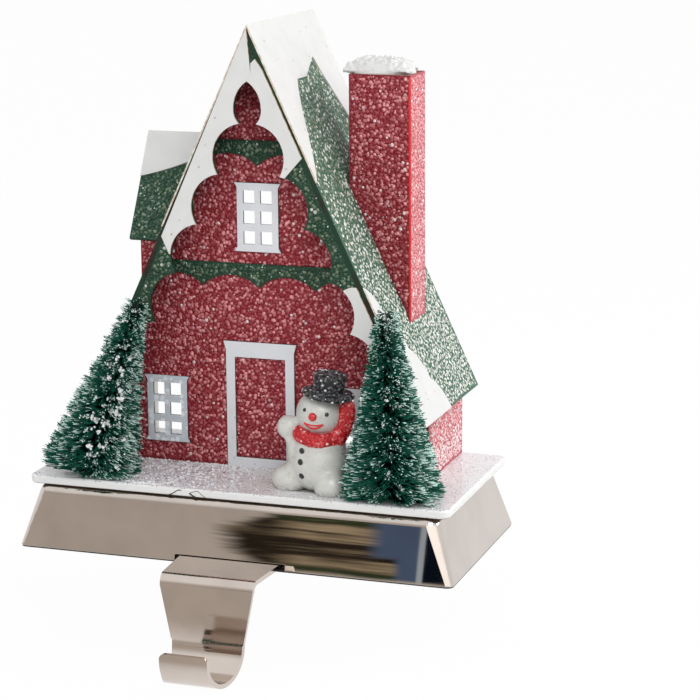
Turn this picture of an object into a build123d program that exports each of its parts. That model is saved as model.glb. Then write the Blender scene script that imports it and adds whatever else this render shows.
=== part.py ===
"""Mantel stocking holder: a glittered card cottage on a weighted metal base with a stocking hook.

Millimetres, +Z up. The origin is the middle of the mantel seat, under the base. The front of the
house, with the door and the hook, faces -Y.
"""

import os
from math import hypot

from build123d import *

# Base: a pressed metal tray, mouth down, over an iron weight
base_width = 140.0
base_depth = 69.0
base_top_width = 128.2
base_top_depth = 62.4
base_height = 19.7
base_corner = 4.0
base_foot_corner = 2.0
base_edge = 3.0
shell_wall = 1.0
rim_lift = 0.4
pad_thickness = 0.8
pad_margin = 1.5
pad_edge_inset = 0.25
weight_gap = 0.6

# Stocking hook: one bent strip that narrows from the base to its tip
hook_thickness = 1.4
hook_root_width = 32.0
hook_bend_width = 29.4
hook_curl_width = 23.0
hook_tip_width = 15.0
hook_reach = 17.8
hook_drop = 16.4
hook_bend_radius = 2.6
hook_curl_radius = 9.2
hook_tip_rise = 2.0
hook_tip_corner = 1.6
tongue_length = 26.0
tongue_fit = 0.3
notch_width = 35.5
notch_lift = 0.15
screw_shank = 3.0
screw_head = 6.5
screw_head_height = 0.6
screw_bite = 7.0
screw_spacing = 16.0
screw_setback = 12.0
screw_fit = 0.1

# Snow board that carries the house
board_side_inset = 2.3
board_front_inset = 1.7
board_thickness = 2.65
board_corner = 3.2
board_edge = 0.8
board_shift = 1.8

# House of card, open at the back; heights are above the snow board
ridge_height = 137.2
eave_height = 19.7
eave_half_width = 55.1
eave_overhang = 2.1
roof_thickness = 1.6
wall_thickness = 1.1
house_front = -2.2
house_depth = 36.4
roof_front_overhang = 10.5
roof_back_overhang = 11.1

# Scalloped gable trim, flush with the front edge of the roof; drops are below the ridge
trim_thickness = 1.2
onion_tip_drop = 15.6
onion_wide_drop = 23.4
onion_half_width = 4.4
onion_crown_radius = 9.5
onion_waist_radius = 5.6
lobe_start_drop = 28.3
lobe_pitch = 15.5
lobe_count = 5
lobe_fall = 8.7
lobe_margin = 4.3
neck_margin = 8.8

# Green bands glued across the front wall, heights above the snow board
band_thickness = 0.6
scallop_pitch = 18.4
scallop_rise = 3.7
storey_band_top = 64.6
storey_band_cusp = 57.2
gable_band_top = 102.6
gable_band_cusp = 94.8
facade_shift = -1.2

# Windows and door frame, heights above the snow board
frame_thickness = 0.7
window_width = 13.4
window_height = 21.2
window_flare = 0.8
window_flare_height = 1.4
pane_width = 3.7
pane_height = 4.0
pane_pitch_across = 5.6
pane_pitch_up = 6.3
pane_reveal = 0.5
upper_window_height = 79.0
lower_window_height = 17.0
lower_window_spread = 31.3
door_width = 22.4
door_height = 40.0
door_leg = 2.9
door_head = 4.9
door_sill = 3.1
door_flare = 0.8
door_flare_height = 2.7

# Card snow on the roof; runs are down the slope from the ridge, insets back from the front edge
roof_snow_thickness = 0.5
snow_front_run = 50.0
snow_back_run = 58.0
snow_saddle_run = 18.8
snow_saddle_inset = 20.3
snow_saddle_width = 8.2
snow_spike_inset = 40.5
snow_spike_length = 5.5
snow_spike_width = 1.6
snow_left_front_run = 67.0
snow_left_saddle_run = 28.0
snow_left_strip = 8.5
eave_snow_start = 84.0
eave_snow_depth = 26.5
eave_snow_waves = 4
eave_snow_wave = 1.2

# Card snow on the gable trim, lapped over the roof's cut edge; drops are below the ridge
trim_snow_thickness = 0.6
trim_snow_left_drop = 66.2
trim_snow_right_top = 9.0
trim_snow_right_join = 11.8
trim_snow_right_drop = 43.4
trim_snow_low_drop = 76.0
trim_snow_slant = 5.4
trim_snow_left_bare = 1.0
trim_snow_right_bare = 0.7
trim_split_width = 1.3
trim_split_drop = 13.4

# Dormer on the left slope, with its ridge across the house
dormer_ridge_drop = 36.6
dormer_rise = 30.5
dormer_half_depth = 16.9
dormer_reach = 45.0
dormer_roof_thickness = 1.4
dormer_verge = 3.0
dormer_eave = 1.9
dormer_snow_thickness = 0.6
dormer_snow_outer_drop = 12.4
dormer_snow_inner_drop = 4.6

# Chimney on the right slope
chimney_left = 23.3
chimney_width = 19.5
chimney_front = 12.1
chimney_depth = 15.2
chimney_top_drop = 15.4
chimney_wall = 1.4
chimney_snow_over = 3.4
chimney_snow_inset = 0.5
chimney_snow_height = 3.0
chimney_snow_round = 2.4
chimney_lump_radius = 4.6
chimney_lump_spread = 9.0

# Bottle-brush trees; they stand in from the eaves, clear of the gable trim's foot and of the eaves
tree_radius = 15.2
tree_height = 56.6
tree_tip_radius = 2.8
tree_tiers = 12
tree_tier_step = 1.1
tree_wire_radius = 0.9
tree_wire_fit = 0.08
tree_wire_cover = 4.0
tree_lift = 0.3
right_tree_inset = 7.3
left_tree_inset = 4.6
tree_trim_gap = 1.06
tree_eave_tuck = 1.58
left_tree_lean = 15.6

# Snowman, to the left of the right tree; heights above the snow board
snowman_gap = 25.8
snowman_y = -18.5
body_radius = 8.8
body_height = 8.2
head_shift = 2.4
head_radius = 7.4
head_height = 23.6
foot_radius = 4.4
foot_spread = 11.6
foot_forward = 4.8
foot_height = 1.4
scarf_height = 16.4
scarf_ring = 5.4
scarf_radius = 2.1
scarf_tail_length = 11.6
scarf_tail_width = 3.6
scarf_tail_lean = 2.2
hat_shift = 5.0
hat_height = 29.4
hat_tilt = 7.0
brim_radius = 7.7
brim_thickness = 1.6
crown_radius = 4.8
crown_height = 6.2
nose_radius = 1.3
hand_radius = 2.9
hand_reach = 9.0
hand_height = 18.8
arm_radius = 2.3

# Levels and roof lines that follow from the sizes above
board_width = base_width - 2 * board_side_inset
board_depth = base_depth - 2 * board_front_inset
board_top = base_height + board_thickness
ridge_z = board_top + ridge_height
eave_z = board_top + eave_height
slope_length = hypot(eave_half_width, ridge_z - eave_z)
roof_cos = eave_half_width / slope_length
roof_sin = (ridge_z - eave_z) / slope_length
roof_rise = roof_sin / roof_cos
inner_ridge_z = ridge_z - roof_thickness / roof_cos
roof_front = house_front - roof_front_overhang
roof_back = house_front + house_depth + roof_back_overhang
roof_mid = (roof_front + roof_back) / 2
wall_half_width = eave_half_width - eave_overhang
trim_front = roof_front
right_tree_x = eave_half_width - right_tree_inset
left_tree_x = left_tree_inset - eave_half_width
trim_foot = ridge_z - lobe_start_drop - lobe_count * lobe_pitch
tier_height = tree_height / tree_tiers
tier_taper = (tree_radius - tree_tip_radius - tree_tier_step) / tree_tiers
snowman_x = right_tree_x - snowman_gap


def bristle_radius(z):
    """Radius of an upright tree at a height z."""
    return tree_radius - tier_taper * (z - board_top) / tier_height


tree_y = roof_front - max(bristle_radius(trim_foot) + tree_trim_gap, bristle_radius(eave_z) - tree_eave_tuck)


def outer_z(x):
    """Height of the roof's outer face at a distance x from the ridge line."""
    return ridge_z - roof_rise * abs(x)


def outer_x(z):
    """Distance of the roof's outer face from the ridge line at a height z."""
    return (ridge_z - z) / roof_rise


def inner_z(x):
    """Height of the roof's inner face at a distance x from the ridge line."""
    return inner_ridge_z - roof_rise * abs(x)


def inner_x(z):
    """Distance of the roof's inner face from the ridge line at a height z."""
    return (inner_ridge_z - z) / roof_rise


def facing_front(y, x=0, z=0):
    """Upright plane at y: sketch X is +X, sketch Y is +Z, and extruding by less than 0 goes back."""
    return Plane(origin=(x, y, z), x_dir=(1, 0, 0), z_dir=(0, -1, 0))


def slope_plane(side):
    """Plane on the roof's outer face: sketch X runs down the slope; side is 1 right, -1 left."""
    return Plane(
        origin=(0, 0, ridge_z),
        x_dir=(side * roof_cos, 0, -roof_sin),
        z_dir=(side * roof_sin, 0, roof_cos),
    )


# Hollow of the base shell
with BuildPart() as shell_hollow:
    with BuildSketch(Plane.XY.offset(rim_lift)):
        RectangleRounded(base_width - 2 * shell_wall, base_depth - 2 * shell_wall, base_foot_corner - shell_wall)
    with BuildSketch(Plane.XY.offset(base_height - shell_wall)):
        RectangleRounded(
            base_top_width - 2 * shell_wall, base_top_depth - 2 * shell_wall, base_corner - shell_wall
        )
    loft(ruled=True)
    fillet(shell_hollow.faces().sort_by(Axis.Z)[-1].edges(), base_edge - shell_wall)

# Base shell: leaning sides, a rounded top edge and a notch for the hook in the front rim
notch_top = pad_thickness + hook_thickness + notch_lift
notch_through = shell_wall + base_depth - base_top_depth
with BuildPart() as base_shell:
    with BuildSketch(Plane.XY.offset(rim_lift)):
        RectangleRounded(base_width, base_depth, base_foot_corner)
    with BuildSketch(Plane.XY.offset(base_height)):
        RectangleRounded(base_top_width, base_top_depth, base_corner)
    loft(ruled=True)
    fillet(base_shell.faces().sort_by(Axis.Z)[-1].edges(), base_edge)
    add(shell_hollow.part, mode=Mode.SUBTRACT)
    with BuildSketch(facing_front(-base_depth / 2)):
        with Locations((0, notch_top / 2)):
            Rectangle(notch_width, notch_top)
    extrude(amount=-notch_through, mode=Mode.SUBTRACT)

# Iron weight inside the shell, with a channel under it for the tongue of the hook
tongue_front = -base_depth / 2
screw_y = tongue_front + screw_setback
weight_inset = shell_wall + weight_gap + pad_thickness
with BuildPart() as counterweight:
    with BuildSketch(Plane.XY.offset(pad_thickness)):
        RectangleRounded(base_width - 2 * weight_inset, base_depth - 2 * weight_inset, base_corner)
    with BuildSketch(Plane.XY.offset(base_height - shell_wall)):
        RectangleRounded(base_top_width - 2 * base_edge, base_top_depth - 2 * base_edge, base_corner)
    loft(ruled=True)
    with BuildSketch(Plane.XY.offset(pad_thickness)):
        with Locations((0, tongue_front + (tongue_length + tongue_fit) / 2)):
            Rectangle(hook_root_width + 2 * tongue_fit, tongue_length + tongue_fit)
    extrude(amount=hook_thickness, mode=Mode.SUBTRACT)
    with BuildSketch(Plane.XY.offset(pad_thickness)):
        with Locations((0, screw_y)):
            with GridLocations(screw_spacing, 0, 2, 1):
                Circle(screw_shank / 2 + screw_fit)
    extrude(amount=hook_thickness + screw_bite + screw_fit, mode=Mode.SUBTRACT)

# Stocking hook: side profile of the bent strip, then its taper cut from both sides
hook_mid_z = pad_thickness + hook_thickness / 2
bend_z = hook_mid_z - hook_bend_radius
stem_y = tongue_front - hook_reach
curl_z = bend_z - hook_drop
curl_y = stem_y - hook_curl_radius
tip_y = stem_y - 2 * hook_curl_radius
strip_half = hook_thickness / 2
with BuildPart() as hook:
    with BuildSketch(Plane.YZ):
        with BuildLine():
            Line((tongue_front + tongue_length, hook_mid_z), (stem_y + hook_bend_radius, hook_mid_z))
            CenterArc((stem_y + hook_bend_radius, bend_z), hook_bend_radius, 90, 90)
            Line((stem_y, bend_z), (stem_y, curl_z))
            CenterArc((curl_y, curl_z), hook_curl_radius, 180, 180)
            Line((tip_y, curl_z), (tip_y, curl_z + hook_tip_rise))
        trace(line_width=hook_thickness)
    extrude(amount=hook_root_width / 2, both=True)
    # The plate narrows from the base to the first bend
    with BuildSketch(Plane.XY.offset(bend_z)):
        with BuildLine():
            Polyline(
                (hook_root_width / 2, tongue_front),
                (hook_bend_width / 2, stem_y - strip_half),
                (hook_root_width, stem_y - strip_half),
                (hook_root_width, tongue_front),
                close=True,
            )
        make_face()
        mirror(about=Plane.YZ)
    extrude(amount=hook_bend_radius + hook_thickness, mode=Mode.SUBTRACT)
    # The stem narrows from the first bend to the curl
    with BuildSketch(facing_front(curl_y)):
        with BuildLine():
            Polyline(
                (hook_bend_width / 2, bend_z),
                (hook_curl_width / 2, curl_z),
                (hook_root_width, curl_z),
                (hook_root_width, bend_z),
                close=True,
            )
        make_face()
        mirror(about=Plane.YZ)
    extrude(amount=-2 * hook_curl_radius, mode=Mode.SUBTRACT)
    # The curl narrows towards its tip
    with BuildSketch(Plane.XY.offset(curl_z)):
        with BuildLine():
            Polyline(
                (hook_curl_width / 2, stem_y + strip_half),
                (hook_tip_width / 2, tip_y + strip_half),
                (hook_tip_width / 2, tip_y - strip_half),
                (hook_root_width, tip_y - strip_half),
                (hook_root_width, stem_y + strip_half),
                close=True,
            )
        make_face()
        mirror(about=Plane.YZ)
    extrude(amount=-2 * hook_curl_radius, mode=Mode.SUBTRACT)
    with BuildSketch(Plane.XY.offset(curl_z)):
        with Locations(((hook_root_width + hook_tip_width) / 2, tip_y)):
            Rectangle(hook_root_width, hook_curl_radius)
        mirror(about=Plane.YZ)
    extrude(amount=hook_tip_rise, mode=Mode.SUBTRACT)
    tip_corners = hook.edges().filter_by(Axis.Y).group_by(Axis.Y)[0].group_by(Axis.Z)[-1]
    fillet(tip_corners, hook_tip_corner)
    with BuildSketch(Plane.XY.offset(pad_thickness)):
        with Locations((0, screw_y)):
            with GridLocations(screw_spacing, 0, 2, 1):
                Circle(screw_shank / 2 + screw_fit)
    extrude(amount=hook_thickness, mode=Mode.SUBTRACT)

# Two low-headed screws hold the tongue up against the weight
with BuildPart() as hook_screws:
    with BuildSketch(Plane.XY.offset(pad_thickness)):
        with Locations((0, screw_y)):
            with GridLocations(screw_spacing, 0, 2, 1):
                Circle(screw_head / 2)
    extrude(amount=-screw_head_height)
    with BuildSketch(Plane.XY.offset(pad_thickness)):
        with Locations((0, screw_y)):
            with GridLocations(screw_spacing, 0, 2, 1):
                Circle(screw_shank / 2)
    extrude(amount=hook_thickness + screw_bite)
    fillet(hook_screws.edges().group_by(Axis.Z)[0], screw_head_height / 2)

# Dark pad under the weight and the rim, with holes for the screw heads
with BuildPart() as base_pad:
    with BuildSketch():
        RectangleRounded(base_width - 2 * pad_edge_inset, base_depth - 2 * pad_edge_inset, base_foot_corner)
    extrude(amount=rim_lift)
    with BuildSketch():
        RectangleRounded(
            base_width - 2 * (shell_wall + pad_margin), base_depth - 2 * (shell_wall + pad_margin), base_corner
        )
    extrude(amount=pad_thickness)
    with BuildSketch():
        with Locations((0, screw_y)):
            with GridLocations(screw_spacing, 0, 2, 1):
                Circle(screw_head / 2 + screw_fit)
    extrude(amount=pad_thickness, mode=Mode.SUBTRACT)

# Axes of the two trees, from where their wires stand in the board
left_tree = Plane(origin=(left_tree_x, tree_y, board_top)).rotated((0, left_tree_lean, 0))
right_tree = Plane(origin=(right_tree_x, tree_y, board_top))

# Snow board on top of the base, drilled for the tree wires
with BuildPart() as snow_board:
    with BuildSketch(Plane.XY.offset(base_height)):
        with Locations((0, board_shift)):
            RectangleRounded(board_width, board_depth, board_corner)
    extrude(amount=board_thickness)
    fillet(snow_board.faces().sort_by(Axis.Z)[-1].edges(), board_edge)
    fillet(snow_board.faces().sort_by(Axis.Z)[0].edges(), board_edge)
    with BuildSketch(left_tree, right_tree):
        Circle(tree_wire_radius + tree_wire_fit)
    extrude(amount=2 * board_thickness, both=True, mode=Mode.SUBTRACT)

# Centres of the three windows in the front wall
upper_window = (facade_shift, board_top + upper_window_height)
left_window = (facade_shift - lower_window_spread, board_top + lower_window_height)
right_window = (facade_shift + lower_window_spread, board_top + lower_window_height)
opening_width = pane_pitch_across + pane_width + 2 * pane_reveal
opening_height = 2 * pane_pitch_up + pane_height + 2 * pane_reveal

# Front wall: the gable of the house, open behind the window panes
with BuildPart() as front_wall:
    with BuildSketch(facing_front(house_front)):
        with BuildLine():
            Polyline(
                (-wall_half_width, board_top),
                (wall_half_width, board_top),
                (wall_half_width, inner_z(wall_half_width)),
                (0, inner_ridge_z),
                (-wall_half_width, inner_z(wall_half_width)),
                close=True,
            )
        make_face()
        with Locations(upper_window, left_window, right_window):
            Rectangle(opening_width, opening_height, mode=Mode.SUBTRACT)
    extrude(amount=-wall_thickness)

# Side walls, bevelled under the roof, from the front wall to the open back
inside = wall_half_width - wall_thickness
with BuildPart() as right_wall:
    with BuildSketch(facing_front(house_front + wall_thickness)):
        with BuildLine():
            Polyline(
                (inside, board_top),
                (wall_half_width, board_top),
                (wall_half_width, inner_z(wall_half_width)),
                (inside, inner_z(inside)),
                close=True,
            )
        make_face()
    extrude(amount=-(house_depth - wall_thickness))

with BuildPart() as left_wall:
    add(right_wall.part.mirror(Plane.YZ))

# Main roof: one card folded at the ridge, open at the front and the back
with BuildPart() as main_roof:
    with BuildSketch(facing_front(roof_front)) as roof_section:
        with BuildLine():
            Polyline(
                (0, ridge_z),
                (eave_half_width, eave_z),
                (eave_half_width - roof_thickness * roof_sin, eave_z - roof_thickness * roof_cos),
                (0, inner_ridge_z),
            )
            mirror(about=Plane.YZ)
        make_face()
    extrude(amount=-(roof_back - roof_front))

# Scalloped gable trim: an onion at the top, then lobes that step down each side
onion_tip_z = ridge_z - onion_tip_drop
onion_wide_z = ridge_z - onion_wide_drop
neck_heights = [ridge_z - lobe_start_drop - k * lobe_pitch for k in range(lobe_count + 1)]
necks = [(inner_x(z) - neck_margin, z) for z in neck_heights]
bulges = [(inner_x(z - lobe_fall) - lobe_margin, z - lobe_fall) for z in neck_heights[:-1]]
with BuildPart() as gable_trim:
    with BuildSketch(facing_front(trim_front)) as trim_sketch:
        with BuildLine():
            RadiusArc((0, onion_tip_z), (onion_half_width, onion_wide_z), onion_crown_radius)
            RadiusArc((onion_half_width, onion_wide_z), necks[0], onion_waist_radius)
            for k in range(lobe_count):
                ThreePointArc(necks[k], bulges[k], necks[k + 1])
            Polyline(necks[-1], (inner_x(trim_foot), trim_foot), (0, inner_ridge_z))
            mirror(about=Plane.YZ)
        make_face()
    extrude(amount=-trim_thickness)

# White card on the trim: a left run whose end stands free at the ridge, a right run that starts
# lower, and one on the lower right; the two runs lap over the roof's cut edge and leave a line bare
free_corner = (trim_split_width, ridge_z - trim_split_drop)
left_edge_end = ridge_z - trim_snow_left_drop + trim_snow_slant / 2
left_tip = ridge_z - trim_snow_left_drop - trim_snow_slant / 2
left_bare = trim_snow_left_bare / roof_sin
right_bare = trim_snow_right_bare / roof_sin
right_top = ridge_z - trim_snow_right_top
right_join = ridge_z - trim_snow_right_join
right_end = ridge_z - trim_snow_right_drop
right_edge_end = right_end + trim_snow_slant
right_tip = right_end - trim_snow_slant / 2
low_top = ridge_z - trim_snow_low_drop
with BuildPart() as trim_snow_left:
    with BuildSketch(facing_front(trim_front)):
        add(trim_sketch.sketch_local)
        add(roof_section.sketch_local)
        with BuildLine():
            Polyline(
                (0, ridge_z),
                free_corner,
                (0, onion_tip_z),
                (0, left_tip),
                (lobe_margin - inner_x(left_tip), left_tip),
                (left_bare - outer_x(left_edge_end), left_edge_end),
                close=True,
            )
        make_face(mode=Mode.INTERSECT)
    extrude(amount=trim_snow_thickness)

with BuildPart() as trim_snow_right:
    with BuildSketch(facing_front(trim_front)):
        add(trim_sketch.sketch_local)
        add(roof_section.sketch_local)
        with BuildLine():
            Polyline(
                free_corner,
                (trim_split_width, right_top - trim_split_width),
                (2 * trim_split_width, right_top),
                (outer_x(right_join) - right_bare, right_join),
                (outer_x(right_edge_end) - right_bare, right_edge_end),
                (inner_x(right_end) - neck_margin, right_tip),
                (0, right_tip),
                (0, onion_tip_z),
                close=True,
            )
        make_face(mode=Mode.INTERSECT)
    extrude(amount=trim_snow_thickness)

with BuildPart() as trim_snow_low:
    with BuildSketch(facing_front(trim_front)):
        add(trim_sketch.sketch_local)
        with BuildLine():
            low_start = (inner_x(low_top) - trim_snow_slant, low_top - trim_snow_slant / 2)
            low_crown = (inner_x(low_top), low_top)
            Polyline(low_crown, (eave_half_width, low_top), (eave_half_width, trim_foot), (0, trim_foot))
            Polyline((0, trim_foot), (0, low_start[1]), low_start)
            RadiusArc(low_start, low_crown, trim_snow_slant)
        make_face(mode=Mode.INTERSECT)
    extrude(amount=trim_snow_thickness)

# Green bands across the front wall, straight above and scalloped below, cut to the gable
scallops = 2 * (1 + int(wall_half_width / scallop_pitch))
band_left = facade_shift - scallop_pitch * scallops / 2
band_right = facade_shift + scallop_pitch * scallops / 2
gable_foot = inner_x(board_top)


def band_sketch(top, cusp):
    """Scalloped band between two heights on the front wall, cut to the gable under the roof."""
    with BuildSketch(facing_front(house_front)) as band:
        with BuildLine():
            Polyline((0, inner_ridge_z), (gable_foot, board_top), (-gable_foot, board_top), close=True)
        make_face()
        with BuildLine():
            for k in range(scallops):
                left = band_left + k * scallop_pitch
                right = left + scallop_pitch
                ThreePointArc((left, cusp), ((left + right) / 2, cusp + scallop_rise), (right, cusp))
            Polyline((band_right, cusp), (band_right, top), (band_left, top), (band_left, cusp))
        make_face(mode=Mode.INTERSECT)
    return band.sketch


with BuildPart() as storey_band:
    extrude(band_sketch(board_top + storey_band_top, board_top + storey_band_cusp), amount=band_thickness)

with BuildPart() as gable_band:
    extrude(band_sketch(board_top + gable_band_top, board_top + gable_band_cusp), amount=band_thickness)

# Window frames of six panes, with a head and a sill that flare out, glued round the openings
window_half = window_width / 2
window_end = window_height / 2


def window_sketch(spot):
    """Face of a window frame about its centre on the front wall."""
    with BuildSketch(facing_front(house_front, *spot)) as window:
        with BuildLine():
            Polyline(
                (0, window_end),
                (window_half + window_flare, window_end),
                (window_half, window_end - window_flare_height),
                (window_half, 0),
            )
            mirror(about=Plane.YZ)
            mirror(about=Plane.XZ)
        make_face()
        with GridLocations(pane_pitch_across, pane_pitch_up, 2, 3):
            Rectangle(pane_width, pane_height, mode=Mode.SUBTRACT)
    return window.sketch


with BuildPart() as upper_window_frame:
    extrude(window_sketch(upper_window), amount=frame_thickness)

with BuildPart() as left_window_frame:
    extrude(window_sketch(left_window), amount=frame_thickness)

with BuildPart() as right_window_frame:
    extrude(window_sketch(right_window), amount=frame_thickness)

# Door frame with a flared head: the wall itself shows inside it
with BuildPart() as door_frame:
    with BuildSketch(facing_front(house_front, facade_shift, board_top)):
        with BuildLine():
            Polyline(
                (0, 0),
                (door_width / 2, 0),
                (door_width / 2, door_height - door_flare_height),
                (door_width / 2 + door_flare, door_height),
                (0, door_height),
            )
            mirror(about=Plane.YZ)
        make_face()
        with Locations((0, (door_height - door_head + door_sill) / 2)):
            Rectangle(door_width - 2 * door_leg, door_height - door_head - door_sill, mode=Mode.SUBTRACT)
    extrude(amount=frame_thickness)

# Card snow over the ridge, folded with the roof: the left half first, with a plain edge
over_ridge = 2 * roof_snow_thickness
left_strip_front = -(roof_front + snow_left_strip)
left_strip_back = -(roof_back - snow_left_strip)
with BuildPart() as left_snow_half:
    with BuildSketch(slope_plane(-1)):
        with BuildLine():
            Polyline(
                (snow_left_front_run, -roof_front),
                (-over_ridge, -roof_front),
                (-over_ridge, -roof_back),
                (snow_back_run, -roof_back),
                (snow_left_saddle_run, left_strip_back),
                (snow_left_saddle_run, left_strip_front),
                close=True,
            )
        make_face()
    extrude(amount=roof_snow_thickness)
    split(bisect_by=Plane.YZ, keep=Keep.BOTTOM)

# The right half runs down the front edge, rises to a saddle with a thin spike, then runs back
saddle_front = (snow_saddle_run, roof_front + snow_saddle_inset)
saddle_back = (snow_saddle_run, roof_front + snow_saddle_inset + snow_saddle_width)
spike_tip = (snow_saddle_run - snow_spike_length, roof_front + snow_spike_inset)
spike_foot = (snow_saddle_run, roof_front + snow_spike_inset + snow_spike_width)
with BuildPart() as ridge_snow:
    with BuildSketch(slope_plane(1)):
        with BuildLine():
            Spline((snow_front_run, roof_front), saddle_front, tangents=((-1, 1), (-1, 1)))
            Polyline(saddle_front, saddle_back, spike_tip, spike_foot, (snow_back_run, roof_back))
            Polyline(
                (snow_back_run, roof_back),
                (-over_ridge, roof_back),
                (-over_ridge, roof_front),
                (snow_front_run, roof_front),
            )
        make_face()
    extrude(amount=roof_snow_thickness)
    split(bisect_by=Plane.YZ, keep=Keep.TOP)
    add(left_snow_half.part)

# Card snow at the front corner of the right eave, with a wavy edge across the slope
wave_run = (slope_length - eave_snow_start) / eave_snow_waves
wave_back = eave_snow_depth / eave_snow_waves
with BuildPart() as eave_snow:
    with BuildSketch(slope_plane(1)):
        with BuildLine():
            for k in range(eave_snow_waves):
                run = eave_snow_start + k * wave_run
                back = roof_front + k * wave_back
                middle = (run + wave_run / 2 - eave_snow_wave, back + wave_back / 2 + eave_snow_wave)
                ThreePointArc((run, back), middle, (run + wave_run, back + wave_back))
            Polyline(
                (slope_length, roof_front + eave_snow_depth),
                (slope_length, roof_front),
                (eave_snow_start, roof_front),
            )
        make_face()
    extrude(amount=roof_snow_thickness)

# Solid under the roof's outer faces, to cut what stands on the left slope
with BuildPart() as under_roof:
    with BuildSketch(facing_front(roof_front)):
        with BuildLine():
            Polyline(
                (0, ridge_z), (dormer_reach, ridge_z), (dormer_reach, 0), (-ridge_z / roof_rise, 0), close=True
            )
        make_face()
    extrude(amount=-(roof_back - roof_front))

# Dormer on the left slope: roof lines seen from the side
dormer_ridge_z = ridge_z - dormer_ridge_drop
dormer_eave_z = dormer_ridge_z - dormer_rise
dormer_slope = dormer_rise / dormer_half_depth
dormer_length = hypot(dormer_rise, dormer_half_depth)
dormer_cos = dormer_half_depth / dormer_length
dormer_sin = dormer_rise / dormer_length
dormer_fold = dormer_roof_thickness / dormer_cos
dormer_inner_z = dormer_ridge_z - dormer_fold
dormer_wall_half = dormer_half_depth - dormer_eave
dormer_wall_end = dormer_reach - dormer_verge
eave_in = dormer_roof_thickness * dormer_sin
eave_down = dormer_roof_thickness * dormer_cos
dormer_side = Plane(origin=(-dormer_reach, roof_mid, 0), x_dir=(0, 1, 0), z_dir=(1, 0, 0))
with BuildPart() as dormer_roof:
    with BuildSketch(dormer_side):
        with BuildLine():
            Polyline(
                (0, dormer_ridge_z),
                (dormer_half_depth, dormer_eave_z),
                (dormer_half_depth - eave_in, dormer_eave_z - eave_down),
                (0, dormer_inner_z),
            )
            mirror(about=Plane.YZ)
        make_face()
    extrude(amount=dormer_reach)
    add(under_roof.part, mode=Mode.SUBTRACT)

# Dormer walls: one folded card, two cheeks and an end, standing on the slope
with BuildPart() as dormer_walls:
    with BuildSketch(dormer_side.offset(dormer_verge)):
        with BuildLine():
            Polyline(
                (0, dormer_inner_z),
                (dormer_wall_half, dormer_inner_z - dormer_slope * dormer_wall_half),
                (dormer_wall_half, board_top),
                (0, board_top),
            )
            mirror(about=Plane.YZ)
        make_face()
    extrude(amount=dormer_wall_end)
    cheek = dormer_wall_half - wall_thickness
    with BuildSketch(dormer_side.offset(dormer_verge + wall_thickness)):
        with Locations((0, (board_top + ridge_z) / 2)):
            Rectangle(2 * cheek, ridge_z - board_top)
    extrude(amount=dormer_reach, mode=Mode.SUBTRACT)
    add(under_roof.part, mode=Mode.SUBTRACT)

# Card snow folded over the dormer's ridge, its lower edge rising towards the house
dormer_front_slope = Plane(
    origin=(-dormer_reach, roof_mid, dormer_ridge_z),
    x_dir=(1, 0, 0),
    z_dir=(0, -dormer_sin, dormer_cos),
)
snow_out = -dormer_snow_outer_drop / dormer_sin
snow_in = -dormer_snow_inner_drop / dormer_sin
with BuildPart() as front_dormer_snow:
    with BuildSketch(dormer_front_slope):
        with BuildLine():
            RadiusArc((0, snow_out), (dormer_reach / 2, snow_in), -2 * dormer_reach)
            Polyline(
                (dormer_reach / 2, snow_in),
                (dormer_reach, snow_in),
                (dormer_reach, dormer_fold),
                (0, dormer_fold),
                (0, snow_out),
            )
        make_face()
    extrude(amount=dormer_snow_thickness)
    split(bisect_by=Plane.XZ.offset(-roof_mid), keep=Keep.TOP)
    add(under_roof.part, mode=Mode.SUBTRACT)

with BuildPart() as dormer_snow:
    add(front_dormer_snow.part)
    add(front_dormer_snow.part.mirror(Plane.XZ.offset(-roof_mid)))

# Chimney: a card tube with a closed top, cut to stand on the right slope
chimney_right = chimney_left + chimney_width
chimney_top = ridge_z - chimney_top_drop
with BuildPart() as chimney:
    with BuildSketch(facing_front(chimney_front)):
        with BuildLine():
            Polyline(
                (chimney_left, outer_z(chimney_left)),
                (chimney_left, chimney_top),
                (chimney_right, chimney_top),
                (chimney_right, outer_z(chimney_right)),
                close=True,
            )
        make_face()
    extrude(amount=-chimney_depth)
    flue_left = chimney_left + chimney_wall
    flue_right = chimney_right - chimney_wall
    with BuildSketch(facing_front(chimney_front + chimney_wall)):
        with BuildLine():
            Polyline(
                (flue_left, outer_z(flue_left)),
                (flue_left, chimney_top - chimney_wall),
                (flue_right, chimney_top - chimney_wall),
                (flue_right, outer_z(flue_right)),
                close=True,
            )
        make_face()
    extrude(amount=-(chimney_depth - 2 * chimney_wall), mode=Mode.SUBTRACT)

# Crumbly snow heaped on the chimney, spilling over its left side
heap_width = chimney_width + chimney_snow_over - chimney_snow_inset
heap_depth = chimney_depth - 2 * chimney_snow_inset
heap_mid = (chimney_left - chimney_snow_over + heap_width / 2, chimney_front + chimney_depth / 2)
with BuildPart() as chimney_snow:
    with BuildSketch(Plane.XY.offset(chimney_top)):
        with Locations(heap_mid):
            RectangleRounded(heap_width, heap_depth, chimney_snow_over)
    extrude(amount=chimney_snow_height)
    fillet(chimney_snow.faces().sort_by(Axis.Z)[-1].edges(), chimney_snow_round)
    with Locations((*heap_mid, chimney_top + chimney_snow_height / 2)):
        with GridLocations(chimney_lump_spread, chimney_lump_spread / 2, 2, 2):
            Sphere(chimney_lump_radius)
    with Locations((*heap_mid, chimney_top)):
        Box(
            2 * chimney_width, 2 * chimney_depth, chimney_lump_radius,
            align=(Align.CENTER, Align.CENTER, Align.MAX), mode=Mode.SUBTRACT,
        )

# Bottle-brush trees: rings of bristles that step in towards the tip, on a twisted wire
tier_radii = [tree_radius - k * tier_taper for k in range(tree_tiers + 1)]


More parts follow.
